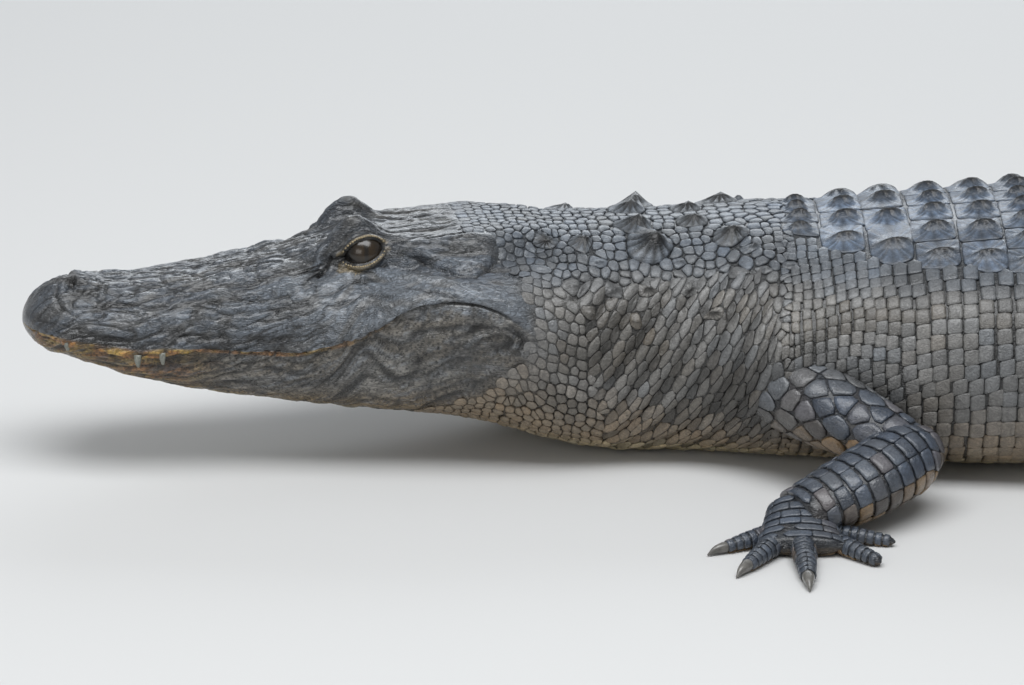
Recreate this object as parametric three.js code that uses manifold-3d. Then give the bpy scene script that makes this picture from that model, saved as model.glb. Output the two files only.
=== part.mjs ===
// American alligator, adult, life size, resting on its belly with its head turned a little to its left.
// Millimetres, +Z up. The snout points to -X and the animal's left side faces -Y.
import * as THREE from "three";
import { mergeVertices } from "three/addons/utils/BufferGeometryUtils.js";
import Module from "manifold-3d";

const wasm = await Module();
wasm.setup();

// Driving dimensions. A station is the distance along the spine from the tip of the snout.
const totalLength = 2750;
const jawEnd = 405; // where the head meets the neck
const snoutRound = { side: 44, height: 26 }; // how far back the rounding of the snout's tip reaches
const seam = 0.4; // gap between neighbouring pieces
const eye = { station: 265, side: 31, height: 167, radius: 16.5 };
const brow = { station: 258, side: 27, height: 19, along: 19, across: 13 };
const nostrilPad = { station: 44, height: 8, along: 24, across: 27 };
const spineStep = 5;

// Smooth, never overshooting curve through [station, value] pairs.
function track(pairs) {
  const x = pairs.map((p) => p[0]);
  const y = pairs.map((p) => p[1]);
  const slope = x.slice(1).map((v, i) => (y[i + 1] - y[i]) / (v - x[i]));
  const tangent = y.map((_, i) => {
    if (i === 0) return slope[0];
    if (i === y.length - 1) return slope[i - 1];
    const a = slope[i - 1];
    const b = slope[i];
    return a * b <= 0 ? 0 : (2 * a * b) / (a + b);
  });
  return (s) => {
    if (s <= x[0]) return y[0];
    if (s >= x[x.length - 1]) return y[y.length - 1];
    const i = x.findIndex((v, k) => s < x[k + 1]);
    const w = x[i + 1] - x[i];
    const t = (s - x[i]) / w;
    const h1 = t * t * (3 - 2 * t);
    const h2 = t * (1 - t) * (1 - t);
    const h3 = t * t * (t - 1);
    return y[i] * (1 - h1) + y[i + 1] * h1 + w * (tangent[i] * h2 + tangent[i + 1] * h3);
  };
}

// Heading of the spine in degrees: the head looks towards the left, and the tail lies in a slack bend.
const heading = track([
  [0, 9.5], [405, 9.5], [520, 6], [650, 0], [1350, 0], [1650, -9], [2050, -15], [2400, 6], [2750, 26],
]);
// Heights above the floor of the mid-line of the back, the widest line (the lips, on the head) and the belly.
const backHeight = track([
  [0, 140], [84, 147], [140, 153], [180, 160], [215, 169], [262, 177], [300, 181], [350, 184], [385, 183],
  [430, 179], [500, 178], [600, 180], [700, 187], [780, 192], [1000, 206], [1150, 202], [1290, 180],
  [1400, 162], [1550, 144], [1750, 120], [2000, 96], [2250, 70], [2500, 44], [2700, 22], [2750, 16],
]);
const lipHeight = track([
  [0, 116], [15, 113], [49, 106], [87, 99], [127, 103.5], [176, 100], [197, 99.5], [222, 103.5], [248, 111],
  [271, 125], [288, 136], [306, 142], [327, 141], [348, 136], [371, 124], [395, 110], [430, 92], [480, 80],
  [600, 74], [780, 76], [1000, 84], [1290, 74], [1400, 68], [1750, 56], [2250, 34], [2750, 8],
]);
const bellyHeight = track([
  [0, 100], [35, 90], [73, 78], [128, 62], [183, 51], [230, 44], [268, 39], [307, 34], [360, 24], [405, 10],
  [440, 1], [470, -2], [2500, -2], [2750, -1],
]);
// Half the width at the widest line, seen from above.
const halfWidth = track([
  [0, 47], [49, 53], [87, 61], [127, 64], [176, 68], [222, 79], [262, 90], [300, 99], [340, 105], [380, 111],
  [410, 111], [470, 106], [520, 110], [600, 134], [700, 158], [780, 167], [1000, 188], [1150, 180],
  [1290, 144], [1400, 110], [1550, 86], [1750, 66], [2000, 48], [2250, 34], [2500, 20], [2700, 9], [2750, 4],
]);
// The lower jaw sits inside the upper lip by this much.
const lipOverhang = track([[0, 2], [20, 4.5], [270, 4.5], [330, 0]]);
// Height of the cheek's crown, and how far the raised skull table stands out of it.
const cheekHeight = track([
  [0, 140], [84, 146], [140, 152], [180, 157], [215, 160], [262, 156], [300, 160], [340, 164], [375, 166],
  [430, 179],
]);
const tableHalfWidth = track([
  [205, 22], [225, 32], [262, 43], [290, 47], [320, 51], [365, 52], [400, 46], [430, 30],
]);
const tableSpan = [205, 430];
const tablePower = 7;
const tableBlend = 8;
// Squareness of the section's upper and lower halves: 2 is an ellipse, more is boxier, less is a lens.
const upperPower = track([
  [0, 2.3], [60, 2.6], [200, 2.5], [262, 2.3], [400, 2.2], [700, 2.3], [1290, 2.2], [1500, 1.9], [2750, 1.8],
]);
const lowerPower = track([[0, 2.6], [200, 2.9], [400, 2.8], [700, 3], [1400, 2.8], [2750, 2.4]]);

// Spine positions, worked out once from the heading, with the trunk on y = 0.
const spine = [new THREE.Vector2(0, 0)];
for (let s = spineStep; s <= totalLength + spineStep; s += spineStep) {
  const a = THREE.MathUtils.degToRad(heading(s - spineStep / 2));
  const onward = new THREE.Vector2(Math.cos(a), Math.sin(a)).multiplyScalar(spineStep);
  spine.push(onward.add(spine[spine.length - 1]));
}
const trunkY = spine[Math.round(1000 / spineStep)].y;
function spineAt(s) {
  const i = Math.min(Math.floor(s / spineStep), spine.length - 2);
  const p = spine[i].clone().lerp(spine[i + 1], s / spineStep - i);
  return new THREE.Vector2(p.x, p.y - trunkY);
}

// A point given by its station, its distance to the animal's right and its height.
function place(s, side, height) {
  const a = THREE.MathUtils.degToRad(heading(s));
  const p = spineAt(s);
  return new THREE.Vector3(p.x - Math.sin(a) * side, p.y + Math.cos(a) * side, Math.max(height, 0));
}

const bell = (x, width) => Math.exp(-((x / width) ** 2));
const rounding = (s, reach) => (s >= reach ? 1 : Math.sqrt(Math.max(0, 1 - (1 - s / reach) ** 2)));
const roundness = (angle, a, b, power) =>
  (Math.abs(Math.cos(angle) / a) ** power + Math.abs(Math.sin(angle) / b) ** power) ** (-1 / power);

// One point of the body's skin: turn runs from 0 at the right lip over the back to PI at the left lip,
// and on below the belly to 2 PI.
function skinPoint(s, turn, swell = 0) {
  const above = Math.sin(turn) >= -1e-9;
  const nose = rounding(s, snoutRound.side);
  const depth = rounding(s, snoutRound.height);
  const lip = lipHeight(s);
  const wide = (halfWidth(s) - (above ? 0 : lipOverhang(s))) * nose;
  const crown = s > tableSpan[0] && s < tableSpan[1] ? cheekHeight(s) : backHeight(s);
  const tall = (above ? crown - lip : lip - bellyHeight(s)) * depth;
  const angle = Math.atan2(tall * Math.sin(turn), wide * Math.cos(turn));
  let r = roundness(angle, Math.max(wide, 0.01), Math.max(tall, 0.01), above ? upperPower(s) : lowerPower(s));
  if (above && s > tableSpan[0] && s < tableSpan[1]) {
    const table = roundness(angle, tableHalfWidth(s), backHeight(s) - lip, tablePower);
    r = Math.max(r, table) + Math.max(0, tableBlend - Math.abs(r - table)) ** 2 / (4 * tableBlend);
  }
  r += swell;
  const side = r * Math.cos(angle);
  let height = lip + r * Math.sin(angle);
  if (above) {
    const { along, across } = nostrilPad;
    const overEye = bell(s - brow.station, brow.along) * bell(Math.abs(side) - brow.side, brow.across);
    height += brow.height * overEye;
    height += nostrilPad.height * bell(s - nostrilPad.station, along) * bell(side, across) * depth;
  }
  return place(s, side, height);
}

// Closes a stack of rings into one geometry. A ring of one point is a pole.
function loft(rings) {
  const points = [];
  const faces = [];
  const starts = rings.map((ring) => points.push(...ring) - ring.length);
  const fan = (ring, start, reverse) => {
    if (ring.length === 1) return;
    const centre = ring.reduce((sum, p) => sum.add(p), new THREE.Vector3()).divideScalar(ring.length);
    const c = points.push(centre) - 1;
    ring.forEach((_, k) => {
      const pair = [start + k, start + ((k + 1) % ring.length)];
      faces.push(reverse ? [c, pair[1], pair[0]] : [c, ...pair]);
    });
  };
  for (let i = 0; i + 1 < rings.length; i++) {
    const a = rings[i];
    const b = rings[i + 1];
    const n = Math.max(a.length, b.length);
    for (let k = 0; k < n; k++) {
      const next = (k + 1) % n;
      const onA = (j) => starts[i] + (a.length === 1 ? 0 : j);
      const onB = (j) => starts[i + 1] + (b.length === 1 ? 0 : j);
      if (a.length > 1) faces.push([onA(k), onB(k), onA(next)]);
      if (b.length > 1) faces.push([onA(next), onB(k), onB(next)]);
    }
  }
  fan(rings[0], starts[0], false);
  fan(rings[rings.length - 1], starts[rings.length - 1], true);
  const volume = faces.reduce((sum, [a, b, c]) => {
    return sum + points[a].dot(new THREE.Vector3().crossVectors(points[b], points[c]));
  }, 0);
  const index = faces.flatMap(([a, b, c]) => (volume < 0 ? [a, c, b] : [a, b, c]));
  return new THREE.BufferGeometry().setFromPoints(points).setIndex(index);
}

function solidOf(geometry) {
  const bare = geometry.clone();
  bare.deleteAttribute("normal");
  bare.deleteAttribute("uv");
  const merged = mergeVertices(bare, 1e-4);
  return new wasm.Manifold(
    new wasm.Mesh({
      numProp: 3,
      vertProperties: new Float32Array(merged.attributes.position.array),
      triVerts: new Uint32Array(merged.index.array),
    }),
  );
}

function geometryOf(solid) {
  const mesh = solid.getMesh();
  const geometry = new THREE.BufferGeometry();
  geometry.setAttribute("position", new THREE.BufferAttribute(new Float32Array(mesh.vertProperties), 3));
  geometry.setIndex(new THREE.BufferAttribute(new Uint32Array(mesh.triVerts), 1));
  return geometry;
}

// Stations from one end of a length to the other, inclusive.
const spread = (from, to, count) =>
  Array.from({ length: count + 1 }, (_, i) => from + ((to - from) * i) / count);

// The points of a ring, one for each angle round it.
const around = (sides, point) => Array.from({ length: sides }, (_, k) => point((2 * Math.PI * k) / sides));

// The largest of a solid's separate bodies.
const largest = (solid) => solid.decompose().sort((p, q) => q.volume() - p.volume())[0];

// A length of the body. With room it is a little larger all round, for cutting the limbs to fit.
function bodyLength({ from, to, rings, sides }, room = 0) {
  const stations = spread(from + seam / 2, to - seam / 2, rings);
  stations[0] -= room;
  stations[rings] += room;
  return solidOf(loft(stations.map((s) => around(sides, (turn) => skinPoint(s, turn, room)))));
}

const group = new THREE.Group();
const hide = new THREE.MeshStandardMaterial({ color: 0x3d4148, roughness: 0.55, metalness: 0 });
const jawHide = new THREE.MeshStandardMaterial({ color: 0x55524c, roughness: 0.6, metalness: 0 });
const limbHide = new THREE.MeshStandardMaterial({ color: 0x34383f, roughness: 0.45, metalness: 0 });
const eyeBrown = new THREE.MeshStandardMaterial({ color: 0x2a190c, roughness: 0.08, metalness: 0 });
const claw = new THREE.MeshStandardMaterial({ color: 0x4a4844, roughness: 0.4, metalness: 0 });

function add(name, shape, material) {
  const mesh = new THREE.Mesh(shape.getMesh ? geometryOf(shape) : shape, material);
  mesh.name = name;
  group.add(mesh);
}

// The head is lofted as two closed halves that meet along the lips.
const snoutStations = spread(0, Math.PI / 2, 4).map((a) => snoutRound.side * (1 - Math.cos(a)));
const headStations = [
  ...snoutStations, ...spread(68, 216, 5), 232, 244, 255, 266, 280, 302, 328, 352, 378,
  jawEnd - seam / 2,
];
const sidesAbove = 16;
const sidesBelow = 11;

function jawHalf(first, sides) {
  const lift = first === 0 ? seam / 2 : -seam / 2;
  const inset = first === 0 ? 0 : 1e-6; // keeps the jaw's own edges below the lips
  const rings = headStations.map((s) => {
    const turns = s > 0 ? spread(first + inset, first + Math.PI - inset, sides) : [first + inset];
    return turns.map((turn, k) => {
      const p = skinPoint(s, turn);
      if (k === 0 || k === sides) p.z += lift;
      return p;
    });
  });
  return solidOf(loft(rings));
}

const eyePlace = (sign) => place(eye.station, sign * eye.side, eye.height);
function eyeball(radius, sign) {
  return new THREE.SphereGeometry(radius, 12, 8).translate(...eyePlace(sign));
}

// Upper teeth that show outside the lower lip, by station and length.
const shownTeeth = [[30, 6], [42, 5], [84, 8], [98, 9], [112, 7], [150, 5], [168, 5]];
function tooth(s, length, sign) {
  const lip = lipHeight(s);
  const side = sign * (halfWidth(s) * rounding(s, snoutRound.side) - 1.7);
  const ring = around(5, (a) => place(s + 1.9 * Math.cos(a), side + 1.4 * Math.sin(a), lip + 2));
  return solidOf(loft([ring, [place(s, side, lip - length)]]));
}

function buildHead() {
  let cranium = jawHalf(0, sidesAbove);
  for (const sign of [-1, 1]) {
    cranium = cranium.subtract(solidOf(eyeball(eye.radius + seam, sign)));
    for (const [s, length] of shownTeeth) cranium = cranium.add(tooth(s, length, sign));
    add(sign < 0 ? "eye_left" : "eye_right", eyeball(eye.radius, sign), eyeBrown);
  }
  add("head", cranium, hide);
  add("lower_jaw", jawHalf(Math.PI, sidesBelow), jawHide);
}

// A keeled scute: a ridged cone that stands out of the body.
function keel(s, side, length, width, height) {
  const top = skinTop(s, side);
  const ring = around(6, (a) => {
    const across = side + (width / 2) * Math.sin(a);
    const along = s + (length / 2) * Math.cos(a);
    return place(along, across, skinTop(along, across) - 5);
  });
  return solidOf(loft([ring, [place(s + length * 0.22, side, top + height)]]));
}

// Height of the back above a point beside the spine.
function skinTop(s, side) {
  const lip = lipHeight(s);
  const wide = halfWidth(s);
  const power = upperPower(s);
  const share = Math.min(0.98, Math.abs(side) / wide);
  return lip + (backHeight(s) - lip) * (1 - share ** power) ** (1 / power);
}

const neckLength = { from: jawEnd, to: 580, rings: 5, sides: 26 };
const nuchalScutes = [[494, 30, 44, 36, 20], [532, 27, 36, 32, 12], [462, 24, 24, 20, 7]];
function buildNeck() {
  let neck = bodyLength(neckLength);
  for (const sign of [-1, 1]) {
    for (const [s, side, length, width, height] of nuchalScutes) {
      neck = neck.add(keel(s, sign * side, length, width, height));
    }
  }
  add("neck", neck, hide);
}

// Whorls of the tail: each carries a pair of crest scutes that draw together into a single row.
const crestStart = 1402;
const crestMeet = 1960;
const crestPitch = track([[crestStart, 35], [totalLength, 21]]);
const crestHeight = track([
  [crestStart, 5], [1600, 12], [1850, 22], [2000, 27], [2300, 24], [2600, 15], [2740, 7],
]);
const crestSide = track([[crestStart, 46], [1600, 32], [1850, 15], [crestMeet, 4]]);
const whorls = [crestStart + crestPitch(crestStart) / 2];
while (whorls[whorls.length - 1] < totalLength - 35) {
  const last = whorls[whorls.length - 1];
  whorls.push(last + crestPitch(last));
}
const tailCut = (whorl) => whorls[whorl] - crestPitch(whorls[whorl]) / 2;

// Pieces of the trunk and tail, from station to station. The tail is cut between its whorls.
const lengths = [
  { name: "chest", from: 580, to: 820, rings: 5, sides: 26 },
  { name: "abdomen", from: 820, to: 1180, rings: 5, sides: 26 },
  { name: "hips", from: 1180, to: tailCut(0), rings: 5, sides: 26 },
  { name: "tail_1", from: tailCut(0), to: tailCut(7), rings: 3, sides: 16 },
  { name: "tail_2", from: tailCut(7), to: tailCut(14), rings: 3, sides: 14 },
  { name: "tail_3", from: tailCut(14), to: tailCut(22), rings: 3, sides: 12 },
  { name: "tail_4", from: tailCut(22), to: tailCut(31), rings: 3, sides: 10 },
  { name: "tail_5", from: tailCut(31), to: tailCut(40), rings: 3, sides: 8 },
  { name: "tail_6", from: tailCut(40), to: totalLength, rings: 3, sides: 8 },
];

function crestFin(s, side, length, height) {
  const thick = 3.2;
  const base = skinTop(s, side) - 7;
  const corner = (along, across, z) => place(s + along, side + across, z);
  const corners = [[-0.5, -1], [0.5, -1], [0.5, 1], [-0.5, 1]];
  const foot = corners.map(([a, b]) => corner(a * length, b * thick, base));
  return solidOf(loft([foot, [corner(0.42 * length, 0, base + 7 + height)]]));
}

function buildTrunkAndTail() {
  for (const piece of lengths) {
    let solid = bodyLength(piece);
    whorls.filter((s) => s > piece.from && s < piece.to).forEach((s) => {
      const length = crestPitch(s) * 0.88;
      const rows = s < crestMeet ? [-crestSide(s), crestSide(s)] : [0];
      for (const side of rows) solid = solid.add(crestFin(s, side, length, crestHeight(s)));
    });
    add(piece.name, solid, hide);
  }
}

// A tapered tube through stops [x, y, z, half width, half height], flattened where it meets the floor.
// With room it is a little larger all round, for cutting its neighbour to fit.
function limb(stops, rings, sides, room = 0) {
  const points = stops.map(([x, y, z]) => new THREE.Vector3(x, y, z));
  const curve = new THREE.CatmullRomCurve3(points, false, "centripetal");
  const wide = track(stops.map((p, i) => [i / (stops.length - 1), p[3] + room]));
  const high = track(stops.map((p, i) => [i / (stops.length - 1), p[4] + room]));
  const lofted = spread(0, 1, rings).map((t) => {
    const along = curve.getTangent(t);
    const across = new THREE.Vector3().crossVectors(along, new THREE.Vector3(0, 0, 1)).normalize();
    const up = new THREE.Vector3().crossVectors(across, along);
    const centre = curve.getPoint(t).addScaledVector(along, t === 0 ? -room : t === 1 ? room : 0);
    return around(sides, (a) => {
      const p = centre.clone().addScaledVector(across, wide(t) * Math.cos(a));
      p.addScaledVector(up, high(t) * Math.sin(a));
      p.z = Math.max(p.z, 0);
      return p;
    });
  });
  return solidOf(loft(lofted));
}

// Limbs, given for the left side: the stops of the upper and lower tube, and how far the foot is turned.
const toesOfHand = [
  { angle: 30, length: 66, radius: 8, claw: 15 },
  { angle: 60, length: 84, radius: 9, claw: 17 },
  { angle: 91, length: 98, radius: 9.5, claw: 18 },
  { angle: 132, length: 86, radius: 8 },
  { angle: 165, length: 74, radius: 7 },
];
const toesOfFoot = [
  { angle: 62, length: 138, radius: 9.5, claw: 18 },
  { angle: 80, length: 160, radius: 10, claw: 20 },
  { angle: 98, length: 164, radius: 10, claw: 18 },
  { angle: 119, length: 146, radius: 8.5 },
];
const arm = {
  names: ["upper_arm", "forearm", "hand"],
  palm: { length: 46, wide: 31, high: 10 },
  toes: toesOfHand,
  web: 0.5,
};
const leg = {
  names: ["thigh", "shank", "foot"],
  palm: { length: 84, wide: 33, high: 12 },
  toes: toesOfFoot,
  web: 0.62,
};
const stances = [
  {
    side: "left",
    sign: 1,
    kind: arm,
    turn: 0,
    upper: [
      [545, -60, 80, 22, 26], [566, -88, 76, 33, 36], [612, -140, 68, 34, 33], [656, -177, 56, 29, 27],
      [692, -203, 44, 21, 20],
    ],
    lower: [
      [700, -192, 47, 17, 18], [680, -211, 42, 29, 28], [646, -239, 33, 33, 26], [598, -266, 19, 27, 18],
    ],
  },
  {
    side: "right",
    sign: -1,
    kind: arm,
    turn: -12,
    upper: [
      [545, -60, 80, 22, 26], [566, -88, 76, 33, 36], [620, -136, 68, 34, 33], [668, -170, 56, 29, 27],
      [706, -194, 44, 21, 20],
    ],
    lower: [
      [713, -184, 47, 17, 18], [696, -205, 42, 29, 28], [668, -237, 33, 33, 26], [624, -268, 19, 27, 18],
    ],
  },
  {
    side: "left",
    sign: 1,
    kind: leg,
    turn: 0,
    upper: [
      [1300, -50, 80, 34, 36], [1276, -92, 80, 52, 50], [1222, -166, 72, 52, 46], [1182, -222, 58, 40, 38],
      [1158, -262, 46, 24, 26],
    ],
    lower: [
      [1152, -244, 50, 20, 22], [1176, -262, 46, 34, 34], [1220, -286, 38, 33, 30], [1276, -308, 23, 26, 22],
    ],
  },
  {
    side: "right",
    sign: -1,
    kind: leg,
    turn: 14,
    upper: [
      [1300, -50, 80, 34, 36], [1276, -92, 80, 52, 50], [1230, -168, 72, 52, 46], [1196, -226, 58, 40, 38],
      [1178, -266, 46, 24, 26],
    ],
    lower: [
      [1168, -250, 50, 20, 22], [1194, -266, 46, 34, 34], [1246, -286, 38, 33, 30], [1308, -302, 23, 26, 22],
    ],
  },
];

function buildLimb({ side, sign, kind, turn, upper, lower }) {
  const mirror = ([x, y, ...rest]) => [x, y * sign, ...rest];
  const wrist = lower[lower.length - 1];
  const [upperStops, lowerStops] = [upper.map(mirror), lower.map(mirror)];
  // A stop at a distance from the wrist, in a direction from -X round to the outside.
  const reach = (angle, distance, z, wide, high) => {
    const a = THREE.MathUtils.degToRad(angle + turn);
    return mirror([wrist[0] - distance * Math.cos(a), wrist[1] - distance * Math.sin(a), z, wide, high]);
  };
  const [upperName, lowerName, endName] = kind.names.map((name) => `${name}_${side}`);

  let upperSolid = limb(upperStops, 6, 10);
  for (const piece of [neckLength, ...lengths.slice(0, 4)]) {
    upperSolid = upperSolid.subtract(bodyLength(piece, seam));
  }
  add(upperName, largest(upperSolid), limbHide);
  add(lowerName, largest(limb(lowerStops, 4, 10).subtract(limb(upperStops, 6, 10, seam))), limbHide);

  const { length, wide, high } = kind.palm;
  const heel = mirror([wrist[0], wrist[1] + 6, wrist[2], wrist[3] * 0.9, wrist[4] * 0.9]);
  const middle = reach(90, length * 0.5, 11, wide, high * 1.2);
  let foot = limb([heel, middle, reach(90, length, 8, wide * 1.12, high * 0.85)], 3, 10);
  kind.toes.forEach((toe, i) => {
    const { angle, radius: r } = toe;
    const root = reach(angle, 16, 9, r * 1.15, r);
    const knuckle = reach(angle, toe.length * 0.62, r * 0.85, r * 0.95, r * 0.9);
    foot = foot.add(limb([root, knuckle, reach(angle, toe.length, r * 0.55, r * 0.62, r * 0.6)], 2, 5));
    if (i) foot = foot.add(web(kind.toes[i - 1], toe, kind.web, length * 0.6, reach));
    if (toe.claw) {
      const start = toe.length + seam;
      const stops = [
        reach(angle, start, r * 0.55, r * 0.5, r * 0.55),
        reach(angle, start + toe.claw * 0.5, r * 0.52, r * 0.38, r * 0.42),
        reach(angle, start + toe.claw, 1, 0.6, 0.6),
      ];
      add(`claw_${endName}_${i + 1}`, limb(stops, 3, 5), claw);
    }
  });
  add(endName, largest(foot.subtract(limb(lowerStops, 4, 10, seam))), limbHide);
}

// Skin between two neighbouring toes, with a hollow front edge.
function web(a, b, share, inset, reach) {
  const at = (angle, distance) => new THREE.Vector2(...reach(angle, distance, 0, 0, 0).slice(0, 2));
  const shape = new THREE.Shape();
  const edge = at((a.angle + b.angle) / 2, share * (a.length + b.length) * 0.36);
  const tip = at(b.angle, b.length * share);
  shape.moveTo(...at(a.angle, inset));
  shape.lineTo(...at(a.angle, a.length * share));
  shape.quadraticCurveTo(edge.x, edge.y, tip.x, tip.y);
  shape.lineTo(...at(b.angle, inset));
  shape.closePath();
  const slab = new THREE.ExtrudeGeometry(shape, { depth: 4, bevelEnabled: false, curveSegments: 2 });
  return solidOf(slab.translate(0, 0, 1.5));
}

buildHead();
buildNeck();
buildTrunkAndTail();
stances.forEach(buildLimb);

// The origin is the middle of the footprint, on the floor.
const box = new THREE.Box3().setFromObject(group);
group.position.set(-(box.min.x + box.max.x) / 2, -(box.min.y + box.max.y) / 2, -box.min.z);
group.updateMatrixWorld(true);

export default group;
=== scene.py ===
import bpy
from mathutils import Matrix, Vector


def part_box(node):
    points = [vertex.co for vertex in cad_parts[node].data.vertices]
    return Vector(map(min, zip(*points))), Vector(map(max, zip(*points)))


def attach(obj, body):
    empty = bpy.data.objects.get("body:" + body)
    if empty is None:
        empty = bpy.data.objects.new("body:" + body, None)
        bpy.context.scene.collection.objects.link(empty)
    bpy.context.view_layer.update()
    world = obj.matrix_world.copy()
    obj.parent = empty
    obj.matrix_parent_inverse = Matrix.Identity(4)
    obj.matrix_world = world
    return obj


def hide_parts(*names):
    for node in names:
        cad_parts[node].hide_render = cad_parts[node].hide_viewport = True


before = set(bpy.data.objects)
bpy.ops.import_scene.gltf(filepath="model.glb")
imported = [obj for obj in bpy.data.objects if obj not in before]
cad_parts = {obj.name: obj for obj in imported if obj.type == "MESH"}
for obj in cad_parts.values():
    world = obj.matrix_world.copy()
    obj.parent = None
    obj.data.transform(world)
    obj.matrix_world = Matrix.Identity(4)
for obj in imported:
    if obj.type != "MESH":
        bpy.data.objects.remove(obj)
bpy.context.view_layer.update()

import math

import bpy
import numpy as np
from mathutils import Matrix, Vector
from mathutils.bvhtree import BVHTree
from mathutils.kdtree import KDTree

mm = 0.001
random = np.random.default_rng(11)


# Curves of the body. A station is the distance along the spine from the tip of the snout. Every size here is
# in millimetres until a mesh is made of it.

def track(pairs):
    x, y = np.array(pairs, float).T
    slope = np.diff(y) / np.diff(x)
    inner = [0 if a * b <= 0 else 2 * a * b / (a + b) for a, b in zip(slope[:-1], slope[1:])]
    tangent = np.array([slope[0], *inner, slope[-1]])

    def value(s):
        s = np.clip(s, x[0], x[-1])
        i = np.clip(np.searchsorted(x, s, side="right") - 1, 0, len(x) - 2)
        w = x[i + 1] - x[i]
        t = (s - x[i]) / w
        h = t * t * (3 - 2 * t)
        lean = tangent[i] * t * (1 - t) ** 2 + tangent[i + 1] * t * t * (t - 1)
        return y[i] * (1 - h) + y[i + 1] * h + w * lean

    return value


body = {
    "length": 2750.0,
    "snoutRound": {"side": 44.0, "height": 26.0},
    "heading": track([[0, 9.5], [405, 9.5], [520, 6], [650, 0], [1350, 0], [1650, -9], [2050, -15],
                      [2400, 6], [2750, 26]]),
    "back": track([[0, 140], [84, 147], [140, 153], [180, 160], [215, 169], [262, 177], [300, 181],
                   [350, 184], [385, 183], [430, 179], [500, 178], [600, 180], [700, 187], [780, 192],
                   [1000, 206], [1150, 202], [1290, 180], [1400, 162], [1550, 144], [1750, 120],
                   [2000, 96], [2250, 70], [2500, 44], [2700, 22], [2750, 16]]),
    "lip": track([[0, 116], [15, 113], [49, 106], [87, 99], [127, 103.5], [176, 100], [197, 99.5],
                  [222, 103.5], [248, 111], [271, 125], [288, 135.5], [306, 142.5], [320, 145.5],
                  [338, 145], [357, 139], [376, 127], [395, 111], [430, 92], [480, 80], [600, 74],
                  [780, 76], [1000, 84], [1290, 74], [1400, 68], [1750, 56], [2250, 34], [2750, 8]]),
    "belly": track([[0, 100], [35, 90], [73, 78], [128, 62], [183, 51], [230, 44], [268, 39], [307, 34],
                    [360, 24], [405, 10], [440, 1], [470, -2], [2500, -2], [2750, -1]]),
    "halfWidth": track([[0, 47], [49, 53], [87, 61], [127, 64], [176, 68], [222, 79], [262, 90], [300, 99],
                        [340, 105], [380, 111], [410, 111], [470, 106], [520, 110], [600, 134], [700, 158],
                        [780, 167], [1000, 188], [1150, 180], [1290, 144], [1400, 110], [1550, 86],
                        [1750, 66], [2000, 48], [2250, 34], [2500, 20], [2700, 9], [2750, 4]]),
    "lipOverhang": track([[0, 2], [20, 4.5], [270, 4.5], [330, 0]]),
    "cheek": track([[0, 140], [84, 146], [140, 152], [180, 157], [215, 160], [262, 156], [300, 160],
                    [340, 164], [375, 166], [430, 179]]),
    "tableHalfWidth": track([[205, 22], [225, 32], [262, 43], [290, 47], [320, 51], [365, 52], [400, 46],
                             [430, 30]]),
    "tableSpan": (205.0, 430.0),
    "tablePower": 7.0,
    "tableBlend": track([[270, 8], [306, 22], [362, 24], [384, 8]]),
    "upperPower": track([[0, 2.3], [60, 2.6], [200, 2.5], [262, 2.3], [400, 2.2], [700, 2.3], [1290, 2.2],
                         [1500, 1.9], [2750, 1.8]]),
    "lowerPower": track([[0, 2.6], [200, 2.9], [400, 2.8], [700, 3], [1400, 2.8], [2750, 2.4]]),
    "brow": {"station": 258.0, "side": 27.0, "height": 19.0, "along": 19.0, "across": 13.0},
    "nostrilPad": {"station": 44.0, "height": 8.0, "along": 24.0, "across": 27.0},
    "spineStep": 5.0,
}
eye = {"station": 265.0, "side": 31.0, "height": 167.0, "radius": 16.5, "lidDepth": 2.2, "gazeUp": 20.0}


def layOutSpine():
    step = body["spineStep"]
    stations = np.arange(0, body["length"] + 2 * step, step)
    angle = np.radians(body["heading"](stations[1:] - step / 2))
    x = np.concatenate([[0], np.cumsum(np.cos(angle)) * step])
    y = np.concatenate([[0], np.cumsum(np.sin(angle)) * step])
    return stations, x, y - np.interp(1000, stations, y)


spineStations, spineX, spineY = layOutSpine()


def place(s, side, height):
    # a point by its station, its distance to the animal's right and its height above the floor
    a = np.radians(body["heading"](s))
    x = np.interp(s, spineStations, spineX) - np.sin(a) * side
    y = np.interp(s, spineStations, spineY) + np.cos(a) * side
    return np.stack(np.broadcast_arrays(x, y, np.maximum(height, 0)), -1)


def spineAxes(s):
    # along the spine, and to the animal's right
    a = math.radians(float(body["heading"](s)))
    return np.array([math.cos(a), math.sin(a), 0]), np.array([-math.sin(a), math.cos(a), 0])


eyeCorners = np.array([list(corner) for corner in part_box("eye_left")])
origin = eyeCorners.mean(0) - place(eye["station"], -eye["side"], eye["height"]) * mm
origin[2] = 0.0


# The camera stands where the photograph was taken: a long lens, a little above the animal.

shot = {"target": (382.0, 0.0, 68.5), "distance": 4000.0, "elevation": 18.0, "focalPixels": 5000.0,
        "imageWidth": 1024}


def makeCamera():
    tilt = math.radians(shot["elevation"])
    away = Vector((0, math.cos(tilt), -math.sin(tilt))) * shot["distance"] * mm
    data = bpy.data.cameras.new("camera")
    data.sensor_width = 36.0
    data.lens = shot["focalPixels"] / shot["imageWidth"] * data.sensor_width
    data.clip_end = 40.0
    camera = bpy.data.objects.new("camera", data)
    camera.location = Vector(np.array(shot["target"]) * mm + origin) - away
    camera.rotation_euler = (math.pi / 2 - tilt, 0, 0)
    bpy.context.scene.collection.objects.link(camera)
    bpy.context.scene.camera = camera


makeCamera()
print("camera placed")


# Meshes from arrays of points in millimetres, with values for each point.

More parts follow.
